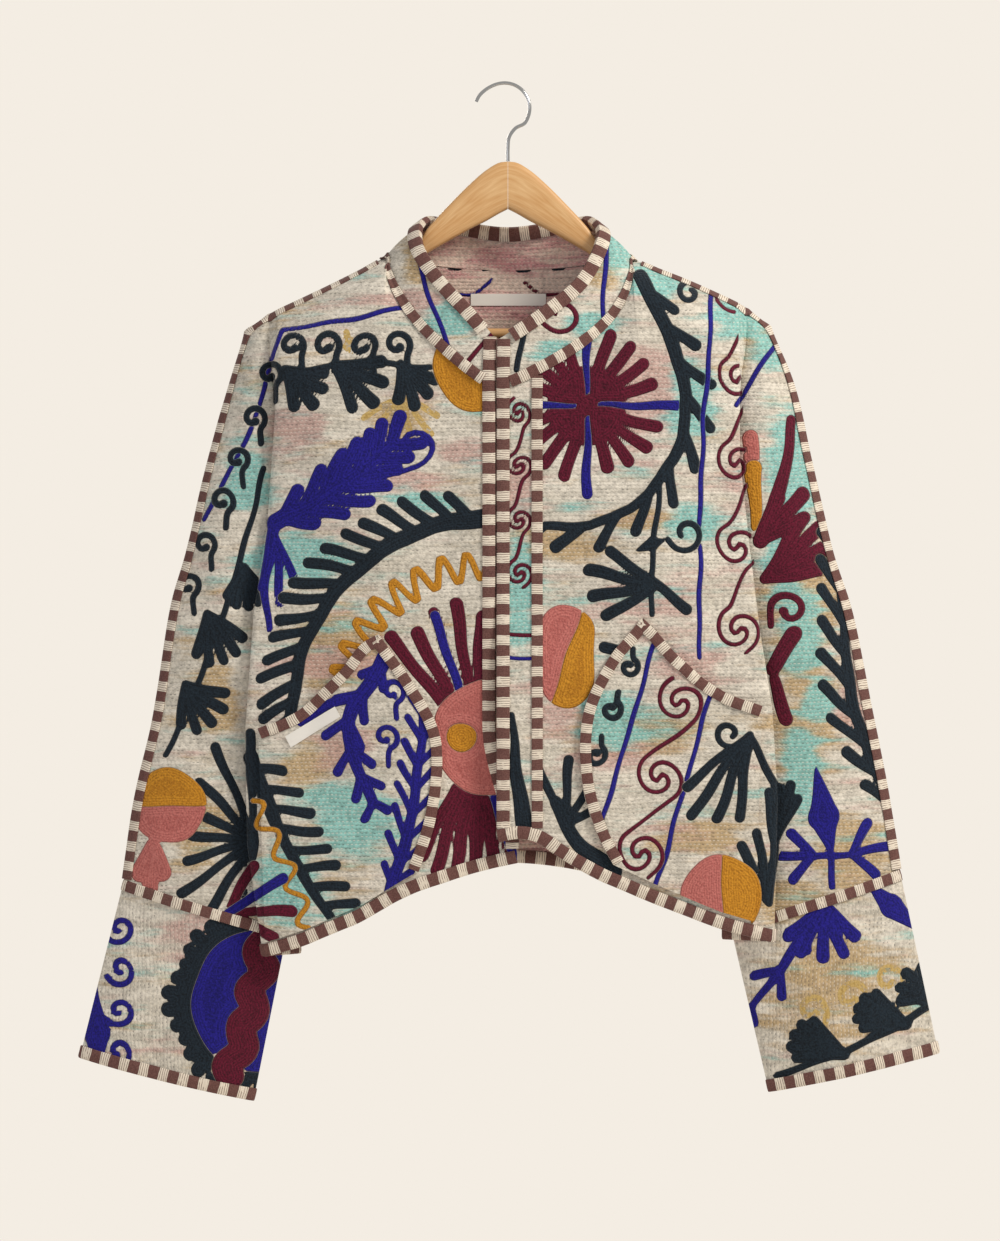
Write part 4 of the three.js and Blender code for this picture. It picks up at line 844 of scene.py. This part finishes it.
def meander(points, swing, waves, r):
    """A line that swings to and fro along its way."""
    share = np.linspace(0, 1, waves * 10 + 1)
    p = curve_through(points)(share)
    along = unit(np.gradient(p, axis=0))
    p = p + np.stack([-along[:, 1], along[:, 0]], -1) * (swing * np.sin(2 * np.pi * waves * share))[:, None]
    return strokes([tuple(k) for k in p], r, parts=waves * 14)


def stitched(obj, motifs, upright=False, reverse_motifs=()):
    """Gives each place of the cloth its distance in mm to every colour of thread, below 0 on it."""
    count = len(obj.data.vertices)
    co = np.empty(count * 3)
    obj.data.vertices.foreach_get("co", co)
    places = co.reshape(-1, 3)[:, [0, 2]] * 1000
    inside = np.empty(count)
    obj.data.attributes["inside"].data.foreach_get("value", inside)
    # Hand drawing is never exact: the outlines wander by about a millimetre.
    x, z = places.T
    drawn = places + 0.65 * np.stack([np.sin(z / 8.4) + np.sin(x / 11.8 + z / 15.3),
                                      np.sin(x / 7.8) + np.sin(z / 11 - x / 13.5)], -1)
    fields = {thread: np.full(count, 9.0) for thread in THREADS}
    for (thread, parts, *cut), back_side in [(m, 0) for m in motifs] + [(m, 1) for m in reverse_motifs]:
        field = np.full(count, 9.0)
        for a, b, ra, rb in parts:
            margin = max(ra, rb) + 10
            near = np.nonzero(np.all((drawn > np.minimum(a, b) - margin) & (drawn < np.maximum(a, b) + margin), axis=1))[0]
            if not len(near):
                continue
            run, from_a = np.asarray(b) - a, drawn[near] - a
            share = np.clip(from_a @ run / max(run @ run, 1e-9), 0, 1)
            away = np.linalg.norm(from_a - share[:, None] * run, axis=1)
            field[near] = np.minimum(field[near], away - (ra + (rb - ra) * share))
        for place, across in cut:
            field = np.maximum(field, (drawn - place) @ np.asarray(across) / np.linalg.norm(across))
        field[inside != back_side] = 9.0
        # What is sewn later covers what lies under it.
        for other in THREADS:
            if other != thread:
                fields[other] = np.maximum(fields[other], -field)
        fields[thread] = np.minimum(fields[thread], field)
    values = dict(fields, rows_turn=np.full(count, float(upright)))
    for tint, blobs in GROUND.items():
        values[tint] = np.max([np.exp(-((x - u) / w) ** 2 - ((z - v) / h) ** 2) for u, v, w, h in blobs], axis=0)
    for name, value in values.items():
        obj.data.attributes.new(name, "FLOAT", "POINT").data.foreach_set("value", value)


# Faded tints, as soft patches: middle across, middle up, half width, half height.
GROUND = {
    "turquoise": [(75, -220, 25, 15), (130, -180, 25, 20), (215, -210, 30, 25), (240, -240, 25, 20), (-185, -430, 55, 20),
        (-140, -660, 40, 30), (260, -350, 20, 55), (165, -290, 25, 45), (-200, -720, 25, 35), (-235, -360, 20, 25),
        (265, -505, 20, 35), (-70, -140, 15, 20), (-45, -215, 25, 20), (100, -150, 15, 25), (45, -245, 25, 10),
        (250, -430, 15, 45), (265, -620, 15, 45), (280, -560, 15, 25), (-70, -380, 35, 10), (165, -395, 25, 20),
        (90, -575, 25, 25), (10, -460, 15, 55)],
    "sand": [(-95, -305, 30, 25), (45, -420, 45, 15), (120, -585, 45, 25), (285, -470, 20, 45), (265, -590, 35, 35),
        (265, -505, 25, 65), (310, -700, 35, 35), (-265, -560, 20, 35), (-240, -845, 35, 55), (300, -815, 55, 45),
        (-215, -200, 20, 10), (85, -165, 15, 25), (-150, -505, 35, 35), (-285, -675, 25, 35), (255, -740, 35, 20),
        (120, -395, 35, 10), (225, -225, 20, 20), (-80, -160, 15, 25), (-185, -620, 25, 20), (175, -685, 45, 20)],
    "pink": [(120, -470, 45, 15), (165, -525, 35, 15), (-185, -315, 25, 15), (-35, -340, 25, 10), (-160, -525, 45, 20),
        (120, -290, 35, 45), (10, -370, 15, 25), (210, -350, 15, 25), (45, -550, 20, 35), (-95, -360, 45, 10),
        (-145, -600, 25, 20), (315, -560, 25, 35), (-80, -200, 25, 10), (85, -610, 35, 10), (-275, -765, 35, 15)],
}


def mirrored(motifs):
    flip = np.array([-1, 1])
    return [(thread, [(flip * a, flip * b, ra, rb) for a, b, ra, rb in parts],
             *[(flip * place, flip * across) for place, across in cut]) for thread, parts, *cut in motifs]


sleeve_of_right = [
    ("blue", strokes(bow((-205, -225), (-275, -395), -8), 2.3)),
    ("teal_black", curls([(-215 - 15 * k, -265 - 38 * k) for k in range(6)], 12, 2.8, start=-60)),
    ("teal_black", strokes(bow((-220, -350), (-310, -610), -8), 2.7)),
    ("teal_black", palmette((-238, -438), -85, 5, 38, 4.8) + palmette((-272, -480), -70, 5, 48, 5)
     + palmette((-292, -545), -55, 5, 45, 5.2, spread=42)),
    ("teal_black", palmette((-228, -686), 175, 9, 58, 4.8, spread=82, outer=1.7)),
    *two_tone((-307, -655), 34, 90),
    ("rose", palmette((-322, -690), -92, 3, 36, 8, spread=24)),
]
front_right_motifs = sleeve_of_right + [
    ("ochre", palmette((-95, -285), -90, 6, 48, 3.2, spread=60) + palmette((-140, -245), 110, 3, 18, 3)),
    ("blue", strokes(bow((-95, -205), (-205, -225), -3), 2.3)),
    ("teal_black", curls([(-195 + 32 * k, -240) for k in range(4)], 13, 3, stem=16)),
    ("teal_black", strokes(bow((-205, -265), (-65, -260), -6), 2.7)),
    ("teal_black", palmette((-200, -262), -40, 4, 42, 5.6) + palmette((-155, -258), -32, 4, 50, 5.8)
     + palmette((-95, -257), -62, 4, 40, 5.8)),
    *two_tone((-25, -258), 42, 185),
    ("blue", fern(bow((-210, -400), (-105, -330), 5), 8, 7, 34, 42, finger=6)),
    ("blue", strokes(bow((-210, -400), (-215, -495), 6), 6, 3) + palmette((-210, -410), -85, 3, 60, 4.2, spread=18)),
    ("blue", strokes(bow((-160, -360), (-85, -350), 5)[:2] + spiral((-85, -330), 20, -90, 0.9), 2.5, parts=24)),
    ("teal_black", fern(arc((-15, -575), 180, 90, 180), 8.4, 17, 50, 42, sides=(-1,), finger=5.2)),
    ("mustard", meander(arc((-15, -575), 138, 92, 165), 13, 8, 3)),
    ("maroon", palmette((-28, -600), 98, 7, 125, 6, spread=30, outer=0.95)),
    ("blue", palmette((-28, -600), 108, 1, 122, 4.8)),
    ("maroon", palmette((-28, -600), -95, 6, 116, 6, spread=22, outer=0.95)),
    ("blue", palmette((-28, -600), -72, 1, 108, 4.6)),
    ("rose", disc((-15, -592), 53)),
    ("mustard", disc((-42, -592), 13.5)),
]
sleeve_of_left = [
    ("blue", strokes(bow((248, -230), (205, -292)), 2.3)),
    ("rose", strokes(bow((218, -322), (220, -342)), 7)),
    ("mustard", strokes(bow((222, -350), (224, -402)), 8, 5)),
    ("maroon", palmette((228, -415), 48, 3, 55, 7, spread=20) + strokes(bow((228, -415), (258, -305), 5), 7, 4.6)),
    ("maroon", palmette((233, -450), 35, 4, 76, 7.2, spread=24)),
    ("maroon", curls([(254, -477)], 17, 3.2, start=190, hand=-1, stem=12)),
    ("maroon", palmette((238, -532), 58, 1, 38, 8) + palmette((240, -540), -72, 1, 38, 6.5)),
    *[(("maroon", "blue")[k % 2], strokes(bow((318 + 8 * k, -488 - 43 * k), (323 + 8 * k, -518 - 43 * k)), 9))
      for k in range(4)],
    ("teal_black", fern(bow((352, -668), (302, -432), -16), 6.6, 9, 32, 42, sides=(1,), finger=5.4)),
    ("teal_black", palmette((240, -690), 80, 4, 58, 4.8, spread=16)),
    ("blue", leaf((290, -695), 98, 74, 15)),
    ("blue", palmette((275, -700), 180, 3, 35, 5, spread=50) + palmette((310, -697), 8, 3, 40, 5, spread=50)),
    ("blue", strokes(bow((275, -701), (312, -697)), 3) + strokes(bow((290, -695), (294, -728)), 3)),
]
front_left_motifs = sleeve_of_left + [
    ("maroon", rosette((71, -294), 20, 63, 5.8, skip=5) + disc((71, -294), 36)),
    ("blue", rosette((71, -294), 4, 82, 5.2, root=0.3)),
    ("maroon", disc((71, -294), 10)),
    ("teal_black", fern([(118, -175)] + arc((48, -292), 112, 20, -97), 6.6, 10, 32, 38, sides=(1,), finger=5.2)),
    ("teal_black", strokes(spiral((165, -190), 12, 60), 2.8, parts=20)),
    ("blue", strokes(bow((185, -185), (172, -520), 5), 2.3)),
    ("maroon", scroll([(207, -195 - 75 * k) for k in range(5)], 22, 1.9), ((212, -290), (1, 0.07))),
    ("teal_black", strokes(bow((137, -355), (128, -482), 2), 2.6) + leaf((140, -415), 200, 26, 6)),
    ("teal_black", strokes(spiral((160, -408), 18, -160), 2.8, parts=24)),
    ("teal_black", palmette((135, -456), 178, 4, 66, 5.6, spread=32) + palmette((135, -456), -38, 1, 32, 5.6)),
    *two_tone((52, -519), 25, 342, tall=21),
    ("teal_black", palmette((50, -670), 70, 4, 66, 4.6, spread=45) + strokes(bow((42, -650), (95, -712), 8), 6, 7.5)),
    ("teal_black", strokes(bow((86, -512), (100, -514)), 5)),
]
band_motifs = [
    ("maroon", scroll([(10, -300 - 48 * k) for k in range(4)], 13, 1.7)),
    ("maroon", strokes(bow((-2, -500), (22, -500)), 1.8)),
    ("blue", strokes(bow((-2, -520), (22, -520)), 1.7)),
    ("teal_black", strokes(bow((4, -572), (16, -672), 3), 3, 8)),
]
pocket_right_motifs = [
    ("blue", fern(bow((-110, -522), (-122, -650), 28), 7.5, 6, 38, 26, finger=4.4)),
    ("blue", strokes(bow((-135, -555), (-185, -578), 3), 4.6)),
    ("blue", curls([(-104, -550), (-110, -592)], 12, 2.5, start=-70)),
    ("blue", fern(bow((-106, -735), (-76, -572), 6), 6, 8, 36, 30, finger=3.6)),
    ("teal_black", fern(bow((-232, -610), (-156, -760), 6), 7, 9, 62, 36, sides=(1,), finger=4.8)),
    ("mustard", meander(bow((-230, -648), (-180, -762), -4), 8, 4, 2.4)),
    ("maroon", palmette((-255, -752), 18, 4, 62, 5.2, spread=42)),
    ("blue", palmette((-255, -752), 32, 1, 62, 5.2)),
]
pocket_left_motifs = [
    ("blue", strokes(bow((132, -505), (85, -665)), 2.3) + strokes(bow((182, -552), (132, -730)), 2.3)),
    ("maroon", scroll([(155 - 18 * k, -560 - 68 * k) for k in range(3)], 23, 2)),
    ("teal_black", curls([(108 - 15 * k, -528 - 40 * k) for k in range(3)], 10, 2.7, start=60, hand=-1, stem=-8)),
    ("teal_black", palmette((216, -590), -118, 4, 90, 5, spread=22, outer=0.8) + palmette((216, -590), -62, 1, 55, 4)),
    ("teal_black", strokes([(216, -592)] + spiral((198, -588), 13, -60, 0.95, -1), 2.7, parts=20)),
    ("teal_black", palmette((235, -742), 108, 4, 66, 4.8, spread=24)),
    *two_tone((192, -735), 37, 0),
]
# The sewer matched the pockets to the fronts, so their pattern goes on to the side edges.
front_right_motifs += [(*motif, ((-218, 0), (1, 0))) for motif in pocket_right_motifs]
front_left_motifs += [(*motif, ((218, 0), (-1, 0))) for motif in pocket_left_motifs]
cuff_right_motifs = [
    ("blue", [part for k in range(4) for part in strokes(spiral((-352, -767 - 37 * k), 15, 205, 1.2, inner=0.16), 2.7,
                                                         parts=24)]),
    ("blue", leaf((-372, -895), 92, 78, 13)),
    ("teal_black", disc((-225, -832), 76) + rosette((-225, -832), 34, 79, 6.6)),
    ("blue", disc((-220, -832), 66)),
    ("maroon", meander(bow((-218, -760), (-252, -900), -4), 5, 4, 13)),
]
cuff_left_motifs = [
    ("ochre", curls([(275 + 35 * k, -840 + 14 * k) for k in range(3)], 15, 3)),
    ("blue", palmette((286, -744), -92, 5, 50, 6, spread=48)),
    ("blue", fern(bow((272, -765), (222, -838)), 5, 3, 40, 22, finger=4.6)),
    ("blue", leaf((328, -728), -42, 62, 12)),
    ("teal_black", strokes(bow((243, -900), (386, -836), 4), 3.4)),
    ("teal_black", palmette((305, -880), 158, 5, 52, 5.4, spread=24) + palmette((362, -853), 160, 5, 50, 5.4, spread=24)
     + palmette((388, -830), 150, 4, 38, 5.2, spread=34)),
]
collar_motifs = [
    ("blue", strokes(bow((-86, -130), (-53, -245), 4), 2.3) + strokes(bow((90, -130), (85, -215)), 2.3)),
    ("maroon", strokes(bow((-65, -178), (-20, -218), 8), 2.3) + strokes(bow((-8, -225), (-36, -255)), 2.3)),
    ("maroon", strokes([(25, -215)] + spiral((48, -212), 18, 220, 0.9), 2.3, parts=20)),
    ("teal_black", strokes(bow((14, -225), (8, -262)), 2.6)),
]
half_back = [
    ("teal_black", fern(bow((-104, -695), (-7, -200), -44), 6, 20, 40, 36, sides=(1,), finger=5.4)),
    *two_tone((-52, -550), 36, 170),
    ("blue", strokes(bow((-165, -198), (-185, -702)), 2.3)),
    ("maroon", scroll([(-201 - 2 * k, -235 - 76 * k) for k in range(6)], 21, 2.4)),
    ("teal_black", curls([(-133, -225), (-104, -218)], 12, 2.7)),
]
back_motifs = mirrored(sleeve_of_left) + mirrored(sleeve_of_right) + half_back + mirrored(half_back) + [
    ("maroon", rosette((0, -350), 18, 76, 7.2, skip=3) + disc((0, -350), 24)),
    ("blue", rosette((0, -350), 6, 83, 5)),
    ("mustard", meander(bow((-88, -702), (88, -702), -50), 8, 9, 2.4)),
]
# A few carried threads show on the reverse, inside the back of the neck.
inside_neck = [
    ("blue", strokes(bow((-58, -184), (-15, -175), 9), 1.7)),
    ("maroon", strokes(bow((15, -175), (55, -185), 9), 1.7)),
    ("teal_black", [part for k in range(4) for part in strokes(bow((-55 + 32 * k, -165), (-45 + 32 * k, -164)), 2)]),
]
for obj, motifs in ((front_right, front_right_motifs), (front_left, front_left_motifs), (placket_band, band_motifs),
                    (back, back_motifs), (cuff_right, cuff_right_motifs), (cuff_left, cuff_left_motifs),
                    (collar, collar_motifs), (pockets["right"][0], pocket_right_motifs),
                    (pockets["left"][0], pocket_left_motifs)):
    stitched(obj, motifs, obj in (cuff_right, cuff_left), inside_neck if obj is back else ())

# Recycled cotton: ivory with faded sand, turquoise and pink, dry and matt, pulled into small
# ridges by rows of running stitch with odd dark stitches; thread embroidery on it, soft and thick.
quilted, tree = material("quilted_cotton")
math_node = "ShaderNodeMath"
coords = add(tree, "ShaderNodeTexCoord")["Object"]
axes = add(tree, "ShaderNodeSeparateXYZ", {0: coords})
turn = add(tree, "ShaderNodeAttribute", attribute_name="rows_turn")["Fac"]
mixed = lambda share, a, b: add(tree, "ShaderNodeMix", {0: share, 2: a, 3: b})[0]
across = mixed(turn, axes["Z"], axes["X"])
along = mixed(turn, axes["X"], axes["Z"])
drift = add(tree, "ShaderNodeTexNoise", {"Vector": coords, "Scale": 14.0, "Detail": 1.0})["Fac"]
row = add(tree, math_node, {0: across, 1: 1 / 0.0034, 2: drift}, operation="MULTIPLY_ADD")[0]
row = add(tree, math_node, {0: drift, 1: 1.6, 2: row}, operation="MULTIPLY_ADD")[0]
row_number = add(tree, math_node, {0: row}, operation="FLOOR")[0]
row_chance = add(tree, "ShaderNodeTexWhiteNoise", {"W": row_number}, noise_dimensions="1D")["Value"]
step = add(tree, math_node, {0: along, 1: 1 / 0.0038, 2: row_chance}, operation="MULTIPLY_ADD")[0]
step = add(tree, math_node, {0: row_chance, 1: 7.3, 2: step}, operation="MULTIPLY_ADD")[0]
step_number = add(tree, math_node, {0: step}, operation="FLOOR")[0]
stitch_place = add(tree, "ShaderNodeCombineXYZ", {"X": step_number, "Y": row_number})[0]
chance = add(tree, "ShaderNodeTexWhiteNoise", {"Vector": stitch_place}, noise_dimensions="2D")
in_row = add(tree, math_node, {0: row}, operation="FRACT")[0]
from_row = add(tree, math_node, {0: in_row, 1: 0.5}, operation="SUBTRACT")[0]
from_row = add(tree, math_node, {0: from_row}, operation="ABSOLUTE")[0]
in_step = add(tree, math_node, {0: step}, operation="FRACT")[0]
from_step = add(tree, math_node, {0: in_step, 1: 0.5}, operation="SUBTRACT")[0]
from_step = add(tree, math_node, {0: from_step}, operation="ABSOLUTE")[0]


def ramp(value, low, high, to_low=0.0, to_high=1.0):
    return add(tree, "ShaderNodeMapRange", {"Value": value, 1: low, 2: high, 3: to_low, 4: to_high},
               interpolation_type="SMOOTHSTEP")["Result"]


thin = ramp(from_row, 0.07, 0.17, 1.0, 0.0)
short = ramp(from_step, 0.2, 0.32, 1.0, 0.0)
stitch = add(tree, math_node, {0: thin, 1: short}, operation="MULTIPLY")[0]
valley = ramp(from_row, 0.0, 0.42, 0.0, 1.0)

# Faded cloth: the tints lie in broken horizontal streaks.
stretched = add(tree, "ShaderNodeMapping", {"Vector": coords, "Scale": (16.0, 16.0, 95.0)})[0]
streak = add(tree, "ShaderNodeTexNoise", {"Vector": stretched, "Scale": 1.0, "Detail": 5.0, "Roughness": 0.62})
blot = add(tree, "ShaderNodeTexNoise", {"Vector": coords, "Scale": 260.0, "Detail": 3.0, "Roughness": 0.6})["Fac"]
fleck = add(tree, "ShaderNodeTexNoise", {"Vector": stretched, "Scale": 3.1, "Detail": 4.0, "Roughness": 0.7})["Fac"]


def blend(share, below, above):
    return add(tree, "ShaderNodeMix", {0: share, 6: below, 7: above}, data_type="RGBA")[2]


def tinted(below, attribute, code, offset, strength):
    share = add(tree, "ShaderNodeAttribute", attribute_name=attribute)["Fac"]
    moved = add(tree, "ShaderNodeVectorMath", {0: stretched, 1: offset})[0]
    patch = add(tree, "ShaderNodeTexNoise", {"Vector": moved, "Scale": 0.62, "Detail": 4.0, "Roughness": 0.65})["Fac"]
    total = add(tree, math_node, {0: share, 1: 0.4, 2: patch}, operation="MULTIPLY_ADD")[0]
    return blend(ramp(total, 0.54, 0.74, 0.0, strength), below, paint(code))


cloth_colour = blend(ramp(streak["Fac"], 0.35, 0.65), paint("#e6e0d4"), paint("#cdc7ba"))
cloth_colour = tinted(cloth_colour, "sand", "#bfa57c", (7.0, 3.0, 11.0), 0.9)
cloth_colour = tinted(cloth_colour, "pink", "#c8a29b", (1.0, 13.0, 31.0), 0.75)
cloth_colour = tinted(cloth_colour, "turquoise", "#8cc8c3", (21.0, 5.0, 3.0), 0.92)
inside = add(tree, "ShaderNodeAttribute", attribute_name="inside")["Fac"]
reverse = blend(ramp(streak["Fac"], 0.4, 0.62), paint("#e3cfc2"), paint("#cf9a9c"))
cloth_colour = blend(inside, cloth_colour, reverse)
grainy = ramp(blot, 0.32, 0.66, 0.76, 1.13)
cloth_colour = add(tree, "ShaderNodeMix", {0: 1.0, 6: cloth_colour, 7: grainy}, data_type="RGBA",
                   blend_type="MULTIPLY")[2]
dark_stitch = add(tree, math_node, {0: chance["Value"], 1: ramp(fleck, 0.45, 0.62, 0.02, 0.8)}, operation="LESS_THAN")[0]
stitch_colour = blend(dark_stitch, paint("#ece6da"), paint("#4f4a47"))
cloth_colour = blend(add(tree, math_node, {0: stitch, 1: 0.55}, operation="MULTIPLY")[0], cloth_colour, stitch_colour)

# Thread over it, colour by colour; its rows of chain stitch follow the outline of each motif.
height = add(tree, math_node, {0: valley, 1: 0.34}, operation="MULTIPLY")[0]
height = add(tree, math_node, {0: stitch, 1: 0.22, 2: height}, operation="MULTIPLY_ADD")[0]
twist = add(tree, "ShaderNodeTexNoise", {"Vector": coords, "Scale": 620.0, "Detail": 2.0, "Roughness": 0.6})["Fac"]
tuft = add(tree, "ShaderNodeTexVoronoi", {"Vector": coords, "Scale": 430.0, "Randomness": 0.85})["Distance"]
height = add(tree, math_node, {0: twist, 1: 0.35, 2: height}, operation="MULTIPLY_ADD")[0]
# Each thread has its own colour and a darker copy of it. The darker copy shows where the yarn's twist changes its tone
# at random, which is real. It also shows as painted shade in the grooves between the rows of chain stitch.
for thread, code, deep in (("ochre", "#cdb273", "#b39455"), ("mustard", "#d4952c", "#a96f1c"), ("rose", "#cc7c76", "#a85a56"),
                           ("maroon", "#6b1531", "#3d0a1c"), ("blue", "#241f94", "#120f5c"),
                           ("teal_black", "#1e2c38", "#0c141c")):
    away = add(tree, "ShaderNodeAttribute", attribute_name=thread)["Fac"]
    cover = ramp(away, -0.35, 0.3, 1.0, 0.0)
    if thread == "ochre":  # worn thin
        cover = add(tree, math_node, {0: cover, 1: ramp(blot, 0.34, 0.5)}, operation="MULTIPLY")[0]
    ridge = add(tree, math_node, {0: away, 1: 2 * math.pi / 2.3}, operation="MULTIPLY")[0]
    ridge = add(tree, math_node, {0: ridge}, operation="COSINE")[0]
    tone_and_groove_shade = add(tree, math_node, {0: ridge, 1: -0.09, 2: twist}, operation="MULTIPLY_ADD")[0]
    yarn = blend(ramp(tone_and_groove_shade, 0.2, 0.75), paint(deep), paint(code))
    cloth_colour = blend(cover, cloth_colour, yarn)
    proud = ramp(away, -1.5, 0.25, 1.25, 0.0)
    proud = add(tree, math_node, {0: ridge, 1: -0.07, 2: proud}, operation="MULTIPLY_ADD")[0]
    proud = add(tree, math_node, {0: tuft, 1: -0.75, 2: proud}, operation="MULTIPLY_ADD")[0]
    if thread == "ochre":
        continue
    height = mixed(ramp(away, -0.1, 0.4, 1.0, 0.0), height, add(tree, math_node, {0: twist, 1: 0.4, 2: proud},
                                                                operation="MULTIPLY_ADD")[0])
relief = add(tree, "ShaderNodeBump", {"Height": height, "Distance": 0.001, "Strength": 1.0})[0]
finish_material(tree, add(tree, "ShaderNodeBsdfPrincipled", {
    "Base Color": cloth_colour, "Roughness": 0.92, "Sheen Weight": 0.12, "Sheen Roughness": 0.5,
    "Specular IOR Level": 0.25, "Normal": relief})["BSDF"])

# Striped cotton tape: matt brown blocks and ivory blocks woven with a few thin brown threads.
striped, tree = material("striped_cotton_tape")
place = add(tree, "ShaderNodeSeparateXYZ", {0: add(tree, "ShaderNodeUVMap", uv_map="length")[0]})
coords = add(tree, "ShaderNodeTexCoord")["Object"]
wobble = add(tree, "ShaderNodeTexNoise", {"Vector": coords, "Scale": 90.0, "Detail": 2.0})["Fac"]
length = add(tree, math_node, {0: wobble, 1: 0.0022, 2: place["X"]}, operation="MULTIPLY_ADD")[0]
repeat = add(tree, math_node, {0: length, 1: 1 / 0.0185}, operation="MULTIPLY")[0]
part = add(tree, math_node, {0: repeat}, operation="FRACT")[0]
ivory = add(tree, math_node, {0: ramp(part, 0.5, 0.53), 1: ramp(part, 0.97, 1.0, 1.0, 0.0)}, operation="MULTIPLY")[0]
lines = add(tree, math_node, {0: repeat, 1: 9.0}, operation="MULTIPLY")[0]
lines = add(tree, math_node, {0: lines}, operation="FRACT")[0]
lines = add(tree, math_node, {0: ramp(lines, 0.08, 0.18), 1: ramp(lines, 0.3, 0.42, 1.0, 0.0)}, operation="MULTIPLY")[0]
missing = add(tree, "ShaderNodeTexNoise", {"Vector": coords, "Scale": 160.0, "Detail": 1.0})["Fac"]
lines = add(tree, math_node, {0: lines, 1: ramp(missing, 0.34, 0.46, 0.15, 1.0)}, operation="MULTIPLY")[0]
weave = add(tree, "ShaderNodeTexNoise", {"Vector": coords, "Scale": 900.0, "Detail": 2.0})["Fac"]
light = blend(lines, paint("#ece2d2"), paint("#694840"))
brown = blend(ramp(weave, 0.3, 0.7), paint("#5d3a36"), paint("#75504a"))
tape_colour = blend(ivory, brown, light)
cords = add(tree, math_node, {0: repeat, 1: 2 * math.pi * 11.5}, operation="MULTIPLY")[0]
cords = add(tree, math_node, {0: cords}, operation="SINE")[0]
rough = add(tree, math_node, {0: weave, 1: 0.5, 2: ivory}, operation="MULTIPLY_ADD")[0]
tape_height = add(tree, math_node, {0: cords, 1: 0.12, 2: rough}, operation="MULTIPLY_ADD")[0]
relief = add(tree, "ShaderNodeBump", {"Height": tape_height, "Distance": 0.0005, "Strength": 1.0})[0]
finish_material(tree, add(tree, "ShaderNodeBsdfPrincipled", {
    "Base Color": tape_colour, "Roughness": 0.88, "Sheen Weight": 0.1, "Normal": relief})["BSDF"])

# Woven satin label: clean white with a faint rib and a slight gloss.
satin, tree = material("woven_satin_label")
coords = add(tree, "ShaderNodeTexCoord")["Object"]
rib = add(tree, "ShaderNodeTexWave", {"Vector": coords, "Scale": 300.0}, bands_direction="Z")["Fac"]
relief = add(tree, "ShaderNodeBump", {"Height": rib, "Distance": 0.0001, "Strength": 0.6})[0]
finish_material(tree, add(tree, "ShaderNodeBsdfPrincipled", {
    "Base Color": paint("#f3f1ec"), "Roughness": 0.5, "Normal": relief})["BSDF"])

cloth_pieces = [front_right, front_left, placket_band, back, cuff_right, cuff_left, collar]
cloth_pieces += [p[0] for p in pockets.values()]
for obj in cloth_pieces:
    obj.data.materials.append(quilted)
    declare(obj, obj.name.replace("quilted_", ""))
for obj in tapes.values():
    obj.data.materials.append(striped)
    declare(obj, obj.name.replace("striped_", ""), cut_of[obj.name])
for obj, node in ((pocket_label, "pocket_label"), (neck_label, "neck_label")):
    obj.data.materials.append(satin)
    declare(obj, node)
for obj, node, slot, made_of in ((arms["right"], "hanger_arm_right", "hanger_wood", wood),
                                 (arms["left"], "hanger_arm_left", "hanger_wood", wood),
                                 (bar, "hanger_bar", "hanger_wood", wood), (hook, "hanger_hook", "hook_wire", steel)):
    if obj is not hook:
        obj.data.materials.append(made_of)
    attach(obj, "root")
    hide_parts(node)

# ---------- studio ----------
# A pale floor far below, an even pale room, and one large soft lamp high on the right.
bpy.ops.mesh.primitive_circle_add(vertices=96, radius=1.3, fill_type="NGON", location=(0, 0, -1.35))
floor = bpy.context.object
floor.name = "studio_floor"
pale, tree = material("pale_floor")
finish_material(tree, add(tree, "ShaderNodeBsdfPrincipled", {"Base Color": paint("#f2ebe0"), "Roughness": 0.9})["BSDF"])
floor.data.materials.append(pale)

world = bpy.data.worlds.new("studio")
bpy.context.scene.world = world
world.use_nodes = True
world.node_tree.nodes.clear()
room = add(world.node_tree, "ShaderNodeBackground", {"Color": paint("#f4ede3"), "Strength": 1.0})["Background"]
dim = add(world.node_tree, "ShaderNodeBackground", {"Color": paint("#f4efe8"), "Strength": 0.52})["Background"]
seen = add(world.node_tree, "ShaderNodeLightPath")["Is Camera Ray"]
both = add(world.node_tree, "ShaderNodeMixShader", {0: seen, 1: dim, 2: room})[0]
add(world.node_tree, "ShaderNodeOutputWorld", {"Surface": both})


def lamp(name, place, target, size, power, colour):
    data = bpy.data.lights.new(name, "AREA")
    data.shape, data.size, data.energy, data.color = "DISK", size, power, paint(colour)[:3]
    obj = bpy.data.objects.new(name, data)
    obj.location = place
    obj.rotation_euler = (Vector(target) - Vector(place)).to_track_quat("-Z", "Y").to_euler()
    bpy.context.scene.collection.objects.link(obj)


lamp("soft_window", (1.75, -1.25, 1.15), (0, 0, -0.5), 0.9, 50, "#fff6ea")
lamp("far_fill", (-1.9, -2.4, -0.2), (0, 0, -0.5), 1.6, 9, "#f3f4ff")

lamp("back_fill", (-1.2, 2.6, 0.5), (0, 0, -0.5), 1.4, 26, "#fff8f0")

camera_data = bpy.data.cameras.new("camera")
camera_data.lens, camera_data.sensor_width, camera_data.clip_start = 96.7, 36.0, 0.1
camera = bpy.data.objects.new("camera", camera_data)
camera.location = (-0.0072, -3.03, -0.487)
camera.rotation_euler = (math.pi / 2, 0, 0)
bpy.context.scene.collection.objects.link(camera)
bpy.context.scene.camera = camera
bpy.context.scene.view_settings.view_transform = "Standard"
